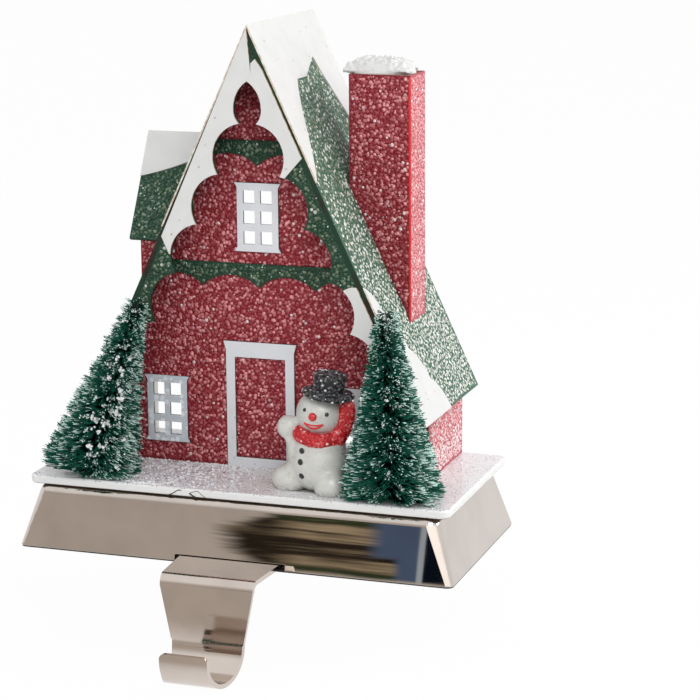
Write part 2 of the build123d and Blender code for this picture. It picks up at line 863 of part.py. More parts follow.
def bristle_sketch(tree):
    """Half section of a tree's bristles, in a plane through the tree's axis."""
    with BuildSketch(Plane(origin=tree.origin, x_dir=tree.x_dir, z_dir=-tree.y_dir)) as section:
        bore = tree_wire_radius + tree_wire_fit
        with BuildLine():
            Polyline((bore, -tree_radius), (tier_radii[0], -tree_radius), (tier_radii[0], 0))
            for k in range(tree_tiers):
                top = (k + 1) * tier_height
                Line((tier_radii[k], k * tier_height), (tier_radii[k + 1] - tree_tier_step, top))
                if k + 1 < tree_tiers:
                    Line((tier_radii[k + 1] - tree_tier_step, top), (tier_radii[k + 1], top))
            Polyline((tree_tip_radius, tree_height), (bore, tree_height), (bore, -tree_radius))
        make_face()
    return section.sketch


def below(height):
    """Block under a height, wide enough to trim a tree level."""
    return Pos(0, 0, height) * Box(
        2 * base_width, 2 * base_width, 2 * base_width, align=(Align.CENTER, Align.CENTER, Align.MAX)
    )


board_block = below(board_top + tree_lift)
wire_block = below(base_height)
with BuildPart() as left_tree_bristles:
    revolve(bristle_sketch(left_tree), axis=Axis(left_tree.origin, left_tree.z_dir))
    add(board_block, mode=Mode.SUBTRACT)

with BuildPart() as right_tree_bristles:
    revolve(bristle_sketch(right_tree), axis=Axis(right_tree.origin, right_tree.z_dir))
    add(board_block, mode=Mode.SUBTRACT)

with BuildPart() as left_tree_wire:
    with BuildSketch(left_tree):
        Circle(tree_wire_radius)
    extrude(amount=tree_height - tree_wire_cover)
    with BuildSketch(left_tree):
        Circle(tree_wire_radius)
    extrude(amount=-2 * board_thickness)
    add(wire_block, mode=Mode.SUBTRACT)

with BuildPart() as right_tree_wire:
    with BuildSketch(right_tree):
        Circle(tree_wire_radius)
    extrude(amount=tree_height - tree_wire_cover)
    with BuildSketch(right_tree):
        Circle(tree_wire_radius)
    extrude(amount=-board_thickness)

# Snowman: one casting of body, feet, neck, head, raised hand, scarf with a lifted tail, and hat
shoulder = Vector(snowman_x, snowman_y, board_top + body_height)
head = Vector(snowman_x + head_shift, snowman_y, board_top + head_height)
hand = Vector(snowman_x - hand_reach, snowman_y - hand_radius / 2, board_top + hand_height)
scarf_x = snowman_x + head_shift / 2
scarf_z = board_top + scarf_height
hat_seat = Plane(origin=(snowman_x + hat_shift, snowman_y, board_top + hat_height)).rotated((0, hat_tilt, 0))
with BuildPart() as snowman:
    with Locations(shoulder):
        Sphere(body_radius)
    with Locations(head):
        Sphere(head_radius)
    with BuildSketch(Plane(origin=shoulder, z_dir=head - shoulder)):
        Circle(scarf_ring)
    extrude(amount=(head - shoulder).length)
    with Locations((snowman_x, snowman_y - foot_forward, board_top + foot_height)):
        with GridLocations(foot_spread, 0, 2, 1):
            Sphere(foot_radius)
    with BuildSketch(Plane(origin=shoulder, z_dir=hand - shoulder)):
        Circle(arm_radius)
    extrude(amount=(hand - shoulder).length)
    with Locations(hand):
        Sphere(hand_radius)
    with Locations((scarf_x, snowman_y, scarf_z)):
        Torus(scarf_ring, scarf_radius)
    with BuildSketch(facing_front(snowman_y, scarf_x + scarf_ring, scarf_z)):
        with BuildLine():
            Polyline(
                (0, 0),
                (scarf_tail_width, 0),
                (scarf_tail_width + scarf_tail_lean, scarf_tail_length),
                (scarf_tail_lean, scarf_tail_length),
                close=True,
            )
        make_face()
    extrude(amount=scarf_radius / 2, both=True)
    with BuildSketch(hat_seat):
        Circle(brim_radius)
    extrude(amount=brim_thickness)
    with BuildSketch(hat_seat):
        Circle(crown_radius)
    extrude(amount=brim_thickness + crown_height)
    with Locations(head - (0, head_radius, 0)):
        Sphere(nose_radius)
    split(bisect_by=Plane.XY.offset(board_top), keep=Keep.TOP)

# Write one file for each piece
pieces = {
    "base_shell": base_shell,
    "counterweight": counterweight,
    "hook": hook,
    "hook_screws": hook_screws,
    "base_pad": base_pad,
    "snow_board": snow_board,
    "front_wall": front_wall,
    "left_wall": left_wall,
    "right_wall": right_wall,
    "main_roof": main_roof,
    "gable_trim": gable_trim,
    "trim_snow_left": trim_snow_left,
    "trim_snow_right": trim_snow_right,
    "trim_snow_low": trim_snow_low,
    "storey_band": storey_band,
    "gable_band": gable_band,
    "upper_window_frame": upper_window_frame,
    "left_window_frame": left_window_frame,
    "right_window_frame": right_window_frame,
    "door_frame": door_frame,
    "ridge_snow": ridge_snow,
    "eave_snow": eave_snow,
    "dormer_walls": dormer_walls,
    "dormer_roof": dormer_roof,
    "dormer_snow": dormer_snow,
    "chimney": chimney,
    "chimney_snow": chimney_snow,
    "left_tree_wire": left_tree_wire,
    "left_tree_bristles": left_tree_bristles,
    "right_tree_wire": right_tree_wire,
    "right_tree_bristles": right_tree_bristles,
    "snowman": snowman,
}
os.makedirs("parts", exist_ok=True)
for name, piece in pieces.items():
    piece.part.label = name
    export_step(piece.part, f"parts/{name}.step")
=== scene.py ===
"""Looks of a mantel stocking holder: a glittered card cottage on a polished base with a hook.

Metres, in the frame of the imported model: +Z up, the middle of the mantel seat at the origin, and
the front of the house, with the door and the hook, on the -Y side.
"""

from __future__ import annotations

import logging
import math
from contextlib import contextmanager
from dataclasses import dataclass, replace
from enum import Enum
from functools import cached_property
from typing import Any, Callable, Iterator, Optional, Sequence, Union

import bpy
import numpy as np
from mathutils import Matrix, Vector
from mathutils.bvhtree import BVHTree


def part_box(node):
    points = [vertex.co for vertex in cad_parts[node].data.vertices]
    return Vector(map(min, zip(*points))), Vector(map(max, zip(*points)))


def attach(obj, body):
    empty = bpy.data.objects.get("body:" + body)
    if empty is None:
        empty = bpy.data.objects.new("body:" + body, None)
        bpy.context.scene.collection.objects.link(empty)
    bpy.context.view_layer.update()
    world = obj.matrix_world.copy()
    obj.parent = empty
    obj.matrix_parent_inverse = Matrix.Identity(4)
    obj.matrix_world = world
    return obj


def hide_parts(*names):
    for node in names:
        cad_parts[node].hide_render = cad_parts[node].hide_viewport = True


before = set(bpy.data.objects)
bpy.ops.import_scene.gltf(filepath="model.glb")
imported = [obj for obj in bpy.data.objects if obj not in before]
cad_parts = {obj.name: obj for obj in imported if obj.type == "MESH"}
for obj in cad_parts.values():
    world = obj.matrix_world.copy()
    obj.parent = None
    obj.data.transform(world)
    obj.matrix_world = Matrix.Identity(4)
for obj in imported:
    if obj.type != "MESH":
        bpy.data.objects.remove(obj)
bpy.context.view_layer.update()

MM = 0.001
BODY = "root"
LOG = logging.getLogger("stocking_holder")
UP = Vector((0.0, 0.0, 1.0))
WHITE = (1.0, 1.0, 1.0)
WELD = 0.002 * MM
FLAT_ANGLE = math.radians(0.4)
COATED = (0.2, 0.3)

Pair = tuple[float, float]
Triple = tuple[float, float, float]
Rgb = Triple
Piece = bpy.types.Object


class Signal:
    """A shader socket that takes part in Python arithmetic."""

    def __init__(self, graph: Graph, socket: bpy.types.NodeSocket) -> None:
        """Keep the socket and the node tree that it belongs to."""
        self.graph = graph
        self.socket = socket

    def _math(self, operation: str, first: Factor, second: Factor) -> Signal:
        """Add one Math node and return its result."""
        return self.graph.node("Math", {0: first, 1: second}, operation=operation)[0]

    def __add__(self, other: Factor) -> Signal:
        """Return self + other."""
        return self._math("ADD", self, other)

    __radd__ = __add__

    def __mul__(self, other: Factor) -> Signal:
        """Return self * other."""
        return self._math("MULTIPLY", self, other)

    __rmul__ = __mul__

    def __sub__(self, other: Factor) -> Signal:
        """Return self - other."""
        return self._math("SUBTRACT", self, other)

    def __rsub__(self, other: Factor) -> Signal:
        """Return other - self."""
        return self._math("SUBTRACT", other, self)

    def __abs__(self) -> Signal:
        """Return the size of self without its sign."""
        return self._math("ABSOLUTE", self, 0.0)

    def most(self, other: Factor) -> Signal:
        """Return the larger of self and other."""
        return self._math("MAXIMUM", self, other)

    def rise(self, low: float, high: float) -> Signal:
        """Return a smooth step that is 0 at low and 1 at high, which may be the smaller one."""
        sockets = {0: self, 1: low, 2: high, 3: 0.0, 4: 1.0}
        return self.graph.node("MapRange", sockets, interpolation_type="SMOOTHSTEP")[0]

    def band(self, start: float, full: float, fall: float, end: float) -> Signal:
        """Return a smooth band that rises from start to full and falls from fall to end."""
        return self.rise(start, full) * self.rise(end, fall)


Factor = Union[Signal, float]


class Outputs:
    """The outputs of a node, as signals."""

    def __init__(self, graph: Graph, node: bpy.types.Node) -> None:
        """Keep the node and the node tree that it belongs to."""
        self.graph = graph
        self.made = node

    def __getitem__(self, key: Union[str, int]) -> Signal:
        """Return one output by its name or number."""
        return Signal(self.graph, self.made.outputs[key])


class Graph:
    """A node tree while it is being wired."""

    def __init__(self, tree: bpy.types.NodeTree) -> None:
        """Keep the tree."""
        self.tree = tree

    def node(
        self, kind: str, sockets: Optional[dict[Union[str, int], Any]] = None, **settings: Any
    ) -> Outputs:
        """Add a node.

        Args:
            kind: The node's type, without the words that start every type.
            sockets: Values or signals for its inputs.
            settings: Its own settings, set first.

        Returns:
            The node's outputs.
        """
        made = self.tree.nodes.new("ShaderNode" + kind)
        for key, value in settings.items():
            setattr(made, key, value)
        for key, value in (sockets or {}).items():
            self.feed(made.inputs[key], value)
        return Outputs(self, made)

    def feed(self, socket: bpy.types.NodeSocket, value: Any) -> None:
        """Link a signal to a socket, or set its plain value.

        Args:
            socket: The input to feed.
            value: A signal, a number, a vector or a colour.
        """
        if isinstance(value, Signal):
            self.tree.links.new(value.socket, socket)
        elif socket.type == "RGBA":
            socket.default_value = (*value, 1.0)
        else:
            socket.default_value = value

    def place(self) -> Signal:
        """Return the point on the object, in millimetres."""
        spot = self.node("TexCoord")["Object"]
        return self.node("VectorMath", {0: spot, "Scale": 1 / MM}, operation="SCALE")[0]

    def parts(self, vector: Signal) -> tuple[Signal, Signal, Signal]:
        """Return the X, Y and Z of a vector."""
        split = self.node("SeparateXYZ", {0: vector})
        return split["X"], split["Y"], split["Z"]

    def facing(self) -> tuple[Signal, Signal, Signal]:
        """Return the X, Y and Z of the surface's own normal."""
        return self.parts(self.node("NewGeometry")["True Normal"])

    def stretched(self, vector: Signal, scale: Triple) -> Signal:
        """Return a vector scaled by its own number along X, Y and Z."""
        return self.node("Mapping", {"Vector": vector, "Scale": scale})[0]

    def attribute(self, name: str) -> Signal:
        """Return a number stored on the mesh."""
        return self.node("Attribute", attribute_name=name)["Fac"]

    def grain(self, where: Signal, size: float, detail: float = 2.0) -> Signal:
        """Return soft noise from 0 to 1, with blotches of a size in millimetres and finer layers."""
        return self.node("TexNoise", {"Vector": where, "Scale": 1 / size, "Detail": detail})["Fac"]

    def cells(self, where: Signal, pitch: float, sides: str = "3D") -> Outputs:
        """Return a pattern of scattered cells, a pitch of so many millimetres apart."""
        sockets = {"Vector": where, "Scale": 1 / pitch}
        return self.node("TexVoronoi", sockets, voronoi_dimensions=sides, feature="F1")

    def mix(self, factor: Factor, first: Any, second: Any) -> Signal:
        """Return a colour between two colours."""
        return self.node("Mix", {0: factor, 6: first, 7: second}, data_type="RGBA")[2]

    def bump(self, height: Signal, strength: float, distance: float) -> Signal:
        """Return a normal bent by a height, where 1 stands for a distance in millimetres."""
        sockets = {"Height": height, "Strength": strength, "Distance": distance * MM}
        return self.node("Bump", sockets)["Normal"]


class Paint(Graph):
    """One material while it is being mixed."""

    def __init__(self, name: str) -> None:
        """Start a material with a plain shader.

        Args:
            name: The material's name.
        """
        self.material = bpy.data.materials.new(name)
        self.material.use_nodes = True
        super().__init__(self.material.node_tree)
        self.shader = self.tree.nodes["Principled BSDF"]

    def dress(self, **sockets: Any) -> None:
        """Set the shader's sockets; an underscore in a name stands for a space."""
        for key, value in sockets.items():
            self.feed(self.shader.inputs[key.replace("_", " ")], value)

    def glow(self, share: Factor, under: Signal, colour: Any) -> None:
        """Use a glowing colour over another surface in place of the plain shader.

        Args:
            share: How much of the glow shows.
            under: The surface under it.
            colour: The colour that glows.
        """
        light = self.node("Emission", {"Color": colour})[0]
        self.tree.nodes.remove(self.shader)
        surface = self.node("MixShader", {0: share, 1: under, 2: light})[0]
        self.feed(self.tree.nodes["Material Output"].inputs["Surface"], surface)


class Coat(Enum):
    """Which faces of a card are coated; its other faces are bare, and its rims are cut edges."""

    FRONT = "front"
    LEFT = "left"
    RIGHT = "right"
    TOP = "roof"
    ROUND = "tube"

    def away(self, normal: Sequence[Any]) -> Any:
        """Tell how squarely a normal looks out of the coated side.

        Args:
            normal: Its X, Y and Z, as numbers or as signals.

        Returns:
            1 where it looks straight out, and 0 along the card.
        """
        x, y, z = normal
        if self is Coat.ROUND:
            return 1 - abs(z)
        ways = {Coat.FRONT: (-1, y), Coat.LEFT: (-1, x), Coat.RIGHT: (1, x), Coat.TOP: (1, z)}
        sign, part = ways[self]
        return sign * part

    def mask(self, paint: Paint) -> tuple[Signal, Signal]:
        """Return a mask of the coated faces and a mask of the cut edges."""
        away = self.away(paint.facing())
        return away.rise(*COATED), 1 - abs(away).rise(*COATED)


RED_CARDS = {
    "front_wall": Coat.FRONT, "left_wall": Coat.LEFT, "right_wall": Coat.RIGHT,
    "chimney": Coat.ROUND, "dormer_walls": Coat.ROUND,
}
GREEN_CARDS = {
    "gable_trim": Coat.FRONT, "storey_band": Coat.FRONT, "gable_band": Coat.FRONT,
    "main_roof": Coat.TOP, "dormer_roof": Coat.TOP,
}
WHITE_CARDS = {
    "trim_snow_left": Coat.FRONT, "trim_snow_right": Coat.FRONT, "trim_snow_low": Coat.FRONT,
    "ridge_snow": Coat.TOP, "eave_snow": Coat.TOP, "dormer_snow": Coat.TOP,
}
CLEAN_FRAMES = ("upper_window_frame", "right_window_frame", "door_frame")
FROSTED_FRAME = "left_window_frame"


def dim(colour: Rgb, share: float) -> Rgb:
    """Return a colour cut down to a share of its brightness."""
    red, green, blue = colour
    return red * share, green * share, blue * share


@dataclass(frozen=True)
class Finish:
    """One finish of the holder, which mixes itself into a material."""

    name: str

    @cached_property
    def paint(self) -> Paint:
        """Return the material being mixed."""
        return Paint(self.name)

    def mix(self) -> bpy.types.Material:
        """Return the finish as a material."""
        self.wire()
        return self.paint.material

    def wire(self) -> None:
        """Wire the finish's own nodes."""
        raise NotImplementedError


@dataclass(frozen=True)
class GlitterCard(Finish):
    """Card under a layer of glue and fine glass grit."""

    coat: Coat
    ground: Rgb
    bead: Rgb
    glint: Rgb
    edge: Rgb
    bare: Rgb
    # How far right-facing faces are painted paler: painted light from the right.
    painted_sidelight: float
    pitch: float = 0.7

    def wire(self) -> None:
        """Wire the coat, the bare back and the cut edges."""
        paint = self.paint
        where = paint.place()
        x, y, z = paint.parts(where)
        across, depth, _ = paint.facing()
        sideways = abs(depth).rise(0.45, 0.55)
        run = x * sideways + y * (1 - sideways)
        flat = paint.node("CombineXYZ", {"X": run, "Y": z})[0]
        beads = paint.cells(flat, self.pitch, "2D")
        shade, pick, _ = paint.parts(beads["Color"])
        dome = beads["Distance"].rise(0.62, 0.08)
        patch = paint.grain(where, 9.0).rise(0.25, 0.75)
        body = dome * (0.1 + 0.5 * shade) * (0.6 + 0.4 * patch)
        # Painted light: right-facing faces get their ground mixed towards the bead colour, as if lit from
        # the right.
        ground = paint.mix(across.rise(0.2, 0.9) * self.painted_sidelight, self.ground, self.bead)
        colour = paint.mix(body, ground, self.bead)
        glint = dome.rise(0.35, 0.8) * pick.rise(0.95, 0.99)
        colour = paint.mix(glint, colour, self.glint)
        coated, cut = self.coat.mask(paint)
        fibre = paint.grain(where, 0.7, 4.0)
        bare = paint.mix(fibre, self.bare, dim(self.bare, 0.8))
        rim = paint.mix(fibre, self.edge, dim(self.edge, 0.5))
        rim = paint.mix(paint.grain(where, 12.0).rise(0.42, 0.58) * 0.8, rim, self.ground)
        paint.dress(
            Base_Color=paint.mix(coated, paint.mix(cut, bare, rim), colour),
            Roughness=0.85 - coated * dome * 0.6,
            Normal=paint.bump(dome * coated + fibre * 0.15, 0.5, 0.35),
        )


@dataclass(frozen=True)
class GlassBead(Finish):
    """Clear glass beads that take on the colour of the card under them."""

    deep: Rgb
    pale: Rgb
    glint: Rgb

    def wire(self) -> None:
        """Wire the beads' shades and glints."""
        paint = self.paint
        shade = paint.attribute("shade")
        patch = paint.grain(paint.place(), 8.0).rise(0.3, 0.7)
        colour = paint.mix(shade * (0.75 + 0.25 * patch), self.deep, self.pale)
        paint.dress(
            Base_Color=paint.mix(paint.attribute("glint"), colour, self.glint),
            Roughness=0.42 - shade * 0.2,
            Coat_Weight=0.3,
            Coat_Roughness=0.15,
        )


@dataclass(frozen=True)
class PlainCard(Finish):
    """Smooth card with specks on its face and a scorched edge."""

    coat: Coat
    face: Rgb
    speck: Rgb
    edge: Rgb
    scorch: Rgb
    roughness: float = 0.7
    speck_room: float = 3.1
    speck_size: float = 0.12
    speck_share: float = 0.4

    def wire(self) -> None:
        """Wire the face, its specks and the edge."""
        paint = self.paint
        where = paint.place()
        cloud = paint.grain(where, 6.0, 3.0)
        tone = paint.mix(cloud.rise(0.2, 0.9), self.face, dim(self.face, 0.93))
        dots = paint.cells(where, self.speck_room)
        pick, _, _ = paint.parts(dots["Color"])
        speck = dots["Distance"].rise(1.3 * self.speck_size, 0.7 * self.speck_size)
        rare = 1.0 - self.speck_share
        tone = paint.mix(speck * pick.rise(rare - 0.05, rare + 0.1) * 0.7, tone, self.speck)
        _, cut = self.coat.mask(paint)
        burn = paint.grain(where, 1.6, 3.0).rise(0.35, 0.65)
        fibre = paint.grain(where, 0.5, 4.0)
        paint.dress(
            Base_Color=paint.mix(cut, tone, paint.mix(burn, self.edge, self.scorch)),
            Roughness=self.roughness + fibre * 0.15,
            Normal=paint.bump(fibre, 0.12, 0.2),
        )


@dataclass(frozen=True)
class SnowGround(Finish):
    """White board under a glossy coat full of fine silver glitter."""

    face: Rgb = (0.81, 0.81, 0.82)
    # The flakes' dark pink is their own tone and partly a painted reflection of the red walls in the glossy
    # board.
    flake: Rgb = (0.54, 0.45, 0.49)
    side: Rgb = (0.73, 0.73, 0.72)
    # Raw board, darkened as painted shade: the metal's top edge mirrors it as the shadowed gap under the
    # board.
    under: Rgb = (0.10, 0.075, 0.055)

    def wire(self) -> None:
        """Wire the glittered top, the plain side and the raw underside, painted extra dark as painted shade
        for the gap over the metal.
        """
        paint = self.paint
        where = paint.place()
        flakes = paint.cells(where, 0.7)
        tint, tilt, _ = paint.parts(flakes["Color"])
        _, _, lift = paint.facing()
        upper = lift.rise(0.3, 0.6)
        shine = flakes["Distance"].rise(0.5, 0.3) * tint.rise(0.55, 0.75) * upper
        blotches = paint.grain(where, 5.0, 4.0).rise(0.5, 0.75)
        colour = paint.mix(shine * 0.75, self.face, self.flake)
        colour = paint.mix(blotches * 0.25, colour, self.flake)
        colour = paint.mix(lift.rise(0.6, 0.3), colour, self.side)
        paint.dress(
            Base_Color=paint.mix(lift.rise(-0.6, -0.8), colour, self.under),
            Roughness=0.6 - shine * 0.4,
            Metallic=shine * tilt * 0.8,
            Coat_Weight=upper * 0.7,
            Coat_Roughness=0.12,
            Normal=paint.bump(flakes["Distance"] + paint.grain(where, 1.6), 0.4, 0.12),
        )


@dataclass(frozen=True)
class PolishedMetal(Finish):
    """Plated steel, polished, with a faint haze and hairline scratches."""

    tint: Rgb
    haze: float
    brushed: Triple = (0.05, 0.6, 1.5)

    def wire(self) -> None:
        """Wire the smears, the scratches and a slow ripple."""
        paint = self.paint
        where = paint.place()
        smear = paint.grain(where, 14.0, 3.0).rise(0.3, 0.8)
        hair = paint.grain(paint.stretched(where, self.brushed), 0.35, 3.0)
        paint.dress(
            Base_Color=paint.mix(smear, self.tint, dim(self.tint, 0.88)),
            Metallic=1.0,
            Roughness=self.haze * (0.7 + smear * 0.6 + hair.rise(0.6, 0.8) * 0.4),
            Normal=paint.bump(paint.grain(where, 22.0, 1.0), 0.02, 0.6),
        )


@dataclass(frozen=True)
class RoughMatter(Finish):
    """Dull stuff with a grain, such as rubber, raw iron or snow crumbs."""

    light: Rgb
    dark: Rgb
    grain: float
    roughness: float
    relief: float
    metallic: float = 0.0

    def wire(self) -> None:
        """Wire the pits."""
        paint = self.paint
        pits = paint.grain(paint.place(), self.grain, 4.0)
        paint.dress(
            Base_Color=paint.mix(pits.rise(0.3, 0.7), self.dark, self.light),
            Metallic=self.metallic,
            Roughness=self.roughness + pits * 0.15,
            Normal=paint.bump(pits, 0.5, self.relief),
        )


@dataclass(frozen=True)
class FrostedBristle(Finish):
    """Dyed bristles whose ends are dipped in frost."""

    # The near-black root is painted shade: the inside of the brush, where little light gets in.
    root: Rgb = (0.001, 0.014, 0.010)
    shaft: Rgb = (0.001, 0.092, 0.058)
    frost: Rgb = (0.74, 0.95, 0.88)
    sheen: float = 0.2

    def wire(self) -> None:
        """Wire the colour, painted darker towards the root as painted shade deep inside the brush, and the
        frost.
        """
        paint = self.paint
        along = paint.attribute("along")
        dye_and_shade = paint.mix(along.rise(0.4, 0.95), self.root, self.shaft)
        dip = along.rise(0.78, 0.92) * paint.attribute("frosted")
        paint.dress(
            Base_Color=paint.mix(dip, dye_and_shade, self.frost),
            Roughness=0.45 + dip * 0.4,
            Specular_IOR_Level=self.sheen,
        )


@dataclass(frozen=True)
class CastResin(Finish):
    """Glossy painted casting with fine specks, and grey blotches towards the board."""

    face: Rgb
    speck: Rgb
    specks: float = 0.6
    unblotched_height: float = 25.0
    blotched_height: float = 22.4

    def wire(self) -> None:
        """Wire the paint, the specks and the blotches towards the board."""
        paint = self.paint
        where = paint.place()
        _, _, z = paint.parts(where)
        cloud = paint.grain(where, 3.0, 3.0).rise(0.3, 0.8)
        dust = paint.grain(where, 0.45).rise(0.62, 0.72)
        wash = paint.grain(where, 4.5, 5.0).rise(0.5, 0.7) * paint.grain(where, 0.9, 4.0).rise(0.4, 0.7)
        # Grey blotches grow towards the board.
        blotches = z.rise(self.unblotched_height, self.blotched_height) * paint.grain(where, 1.1, 4.0).rise(0.42, 0.6)
        colour = paint.mix(cloud, self.face, dim(self.face, 0.9))
        paint.dress(
            Base_Color=paint.mix((wash * 0.5 + dust + blotches) * self.specks, colour, self.speck),
            Roughness=0.28 + cloud * 0.12,
            Coat_Weight=0.35,
            Coat_Roughness=0.12,
            Normal=paint.bump(paint.grain(where, 1.2, 3.0), 0.12, 0.2),
        )


@dataclass(frozen=True)
class GlitterPaint(Finish):
    """Paint full of coarse glitter, all over a piece."""

    ground: Rgb
    flake: Rgb
    pitch: float

    def wire(self) -> None:
        """Wire the flakes."""
        paint = self.paint
        flakes = paint.cells(paint.place(), self.pitch)
        shade, pick, _ = paint.parts(flakes["Color"])
        body = flakes["Distance"].rise(0.6, 0.2)
        paint.dress(
            Base_Color=paint.mix(body * shade.rise(0.35, 0.95) * 0.75, self.ground, self.flake),
            Roughness=0.55 - body * pick * 0.4,
            Normal=paint.bump(body, 0.5, 0.25),
        )


class Palette:
    """Every finish of the holder, mixed once."""

    def __init__(self) -> None:
        """Mix the finishes."""
        self.mix_cards()
        self.mix_frames()
        self.mix_beads()
        self.mix_base()
        self.mix_snow_and_trees()
        self.mix_snowman()

    def mix_cards(self) -> None:
        """Mix the red, green and white cards, each by the faces that are coated."""
        red = {
            "ground": (0.19, 0.002, 0.009), "bead": (0.52, 0.10, 0.13), "glint": (0.85, 0.72, 0.72),
            "edge": (0.34, 0.20, 0.16), "bare": (0.82, 0.81, 0.79), "painted_sidelight": 0.8,
        }
        green = {"ground": (0.004, 0.040, 0.018), "glint": (0.72, 0.82, 0.76), "bare": (0.030, 0.060, 0.035)}
        fretwork = {"bead": (0.03, 0.09, 0.055), "edge": (0.010, 0.008, 0.005), "painted_sidelight": 0.15}
        shingle = {"bead": (0.08, 0.20, 0.13), "edge": (0.022, 0.012, 0.008), "painted_sidelight": 0.45}
        white = {"face": (0.69, 0.69, 0.68), "speck": (0.30, 0.30, 0.32)}
        browned = {"edge": (0.62, 0.47, 0.30), "scorch": (0.26, 0.15, 0.07)}
        creamy = {"edge": (0.78, 0.75, 0.68), "scorch": (0.52, 0.42, 0.30)}
        self.red = {
            coat: GlitterCard(f"red_{coat.value}_card", coat, **red).mix()
            for coat in dict.fromkeys(RED_CARDS.values())
        }
        self.green = {
            coat: GlitterCard(f"green_{coat.value}_card", coat, **green, **look).mix()
            for coat, look in ((Coat.FRONT, fretwork), (Coat.TOP, shingle))
        }
        self.white = {
            coat: PlainCard(f"white_{coat.value}_card", coat, **white, **rim).mix()
            for coat, rim in ((Coat.FRONT, browned), (Coat.TOP, creamy))
        }

    def mix_frames(self) -> None:
        """Mix the pale grey card of the frames, clean and frosted."""
        # Near-black cut edges: scorch, and painted shadow for the thin dark line along the frames'
        # right-hand sides.
        grey = {"coat": Coat.FRONT, "edge": (0.12, 0.10, 0.10), "scorch": (0.02, 0.015, 0.015)}
        self.clean_frame = PlainCard(
            "grey_frame_card", face=(0.72, 0.73, 0.76), speck=(0.46, 0.47, 0.51), **grey
        ).mix()
        self.frosted_frame = PlainCard(
            "frosted_frame_card", face=(0.60, 0.65, 0.70), speck=(0.95, 0.97, 1.0),
            speck_room=1.7, speck_size=0.5, speck_share=0.5, **grey,
        ).mix()

    def mix_beads(self) -> None:
        """Mix the glass beads and flakes, each from deep to pale to a glint."""
        self.red_bead, self.green_bead, self.silver_flake, self.hat_bead, self.scarf_bead = (
            GlassBead(*look).mix()
            for look in (
                ("red_beads", (0.28, 0.006, 0.018), (0.87, 0.355, 0.37), (0.92, 0.84, 0.84)),
                ("green_beads", (0.004, 0.042, 0.016), (0.27, 0.34, 0.235), (0.93, 0.93, 0.88)),
                # The flakes' dark pink deep tone is partly a painted reflection of the red walls in the
                # glossy board.
                ("silver_flakes", (0.34, 0.25, 0.30), (0.86, 0.82, 0.90), (0.97, 0.98, 1.0)),
                ("black_beads", (0.004, 0.004, 0.006), (0.24, 0.25, 0.26), (0.94, 0.96, 1.0)),
                ("scarf_beads", (0.56, 0.004, 0.012), (0.82, 0.12, 0.13), (1.0, 0.74, 0.68)),
            )
        )

    def mix_base(self) -> None:
        """Mix the metals, the pad and the board."""
        self.snow_ground = SnowGround("white_glitter_board").mix()
        self.shell_metal = PolishedMetal("polished_nickel", (0.62, 0.565, 0.52), 0.016).mix()
        self.hook_metal = PolishedMetal("satin_nickel", (0.64, 0.57, 0.52), 0.10).mix()
        self.iron, self.zinc, self.rubber = (
            RoughMatter(*look).mix()
            for look in (
                ("raw_iron", (0.10, 0.09, 0.08), (0.03, 0.03, 0.03), 0.9, 0.6, 0.4, 0.6),
                ("zinc_screw", (0.60, 0.60, 0.58), (0.45, 0.45, 0.44), 0.4, 0.3, 0.05, 1.0),
                ("black_pad", (0.035, 0.035, 0.035), (0.012, 0.012, 0.012), 0.5, 0.75, 0.2),
            )
        )

    def mix_snow_and_trees(self) -> None:
        """Mix the snow, the tree wire and the bristles."""
        self.crumbs, self.packed_snow, self.wire = (
            RoughMatter(*look).mix()
            for look in (
                ("crumb_snow", (0.84, 0.84, 0.84), (0.72, 0.73, 0.74), 0.8, 0.6, 0.1),
                ("packed_snow", (0.73, 0.73, 0.72), (0.66, 0.66, 0.65), 0.8, 0.75, 0.1),
                ("green_wire", (0.04, 0.12, 0.08), (0.02, 0.05, 0.03), 0.4, 0.45, 0.1, 0.5),
            )
        )
        self.bristle = FrostedBristle("frosted_bristle").mix()

    def mix_snowman(self) -> None:
        """Mix the casting's paints."""
        self.resin = CastResin("cast_resin", (0.61, 0.61, 0.575), (0.28, 0.28, 0.27)).mix()
        self.black_dot = CastResin("black_paint", (0.012, 0.012, 0.013), (0.10, 0.10, 0.10), 0.3).mix()
        self.red_dot = CastResin("red_paint", (0.60, 0.015, 0.020), (0.75, 0.20, 0.18), 0.3).mix()
        self.hat_paint = GlitterPaint("black_glitter", (0.008, 0.008, 0.010), (0.30, 0.30, 0.34), 1.1).mix()
        self.scarf_paint = GlitterPaint("red_glitter", (0.42, 0.006, 0.010), (0.88, 0.36, 0.34), 1.25).mix()


def only(piece: Piece) -> None:
    """Make a piece the one selected and active object.

    Args:
        piece: The piece.
    """
    bpy.ops.object.select_all(action="DESELECT")
    piece.select_set(True)
    bpy.context.view_layer.objects.active = piece


def settle(piece: Piece) -> None:
    """Move a piece's place, turn and scale into its mesh."""
    only(piece)
    bpy.ops.object.transform_apply(location=True, rotation=True, scale=True)


def linked(name: str, data: Any) -> Piece:
    """Put a mesh, a curve, a lamp or a camera into the scene.

    Args:
        name: The object's name.
        data: What it holds.

    Returns:
        The new object.
    """
    made = bpy.data.objects.new(name, data)
    bpy.context.scene.collection.objects.link(made)
    return made


def added(operator: Callable[..., Any], **settings: Any) -> Piece:
    """Add one of the stock meshes.

    Args:
        operator: The operator that adds it.
        settings: The operator's own settings.

    Returns:
        The new object.
    """
    bpy.ops.object.select_all(action="DESELECT")
    operator(**settings)
    return bpy.context.object


@contextmanager
def editing(piece: Piece) -> Iterator[None]:
    """Open the whole mesh of a piece for editing, and close it afterwards.

    Args:
        piece: The piece.
    """
    only(piece)
    bpy.ops.object.mode_set(mode="EDIT")
    bpy.ops.mesh.select_all(action="SELECT")
    yield
    bpy.ops.object.mode_set(mode="OBJECT")


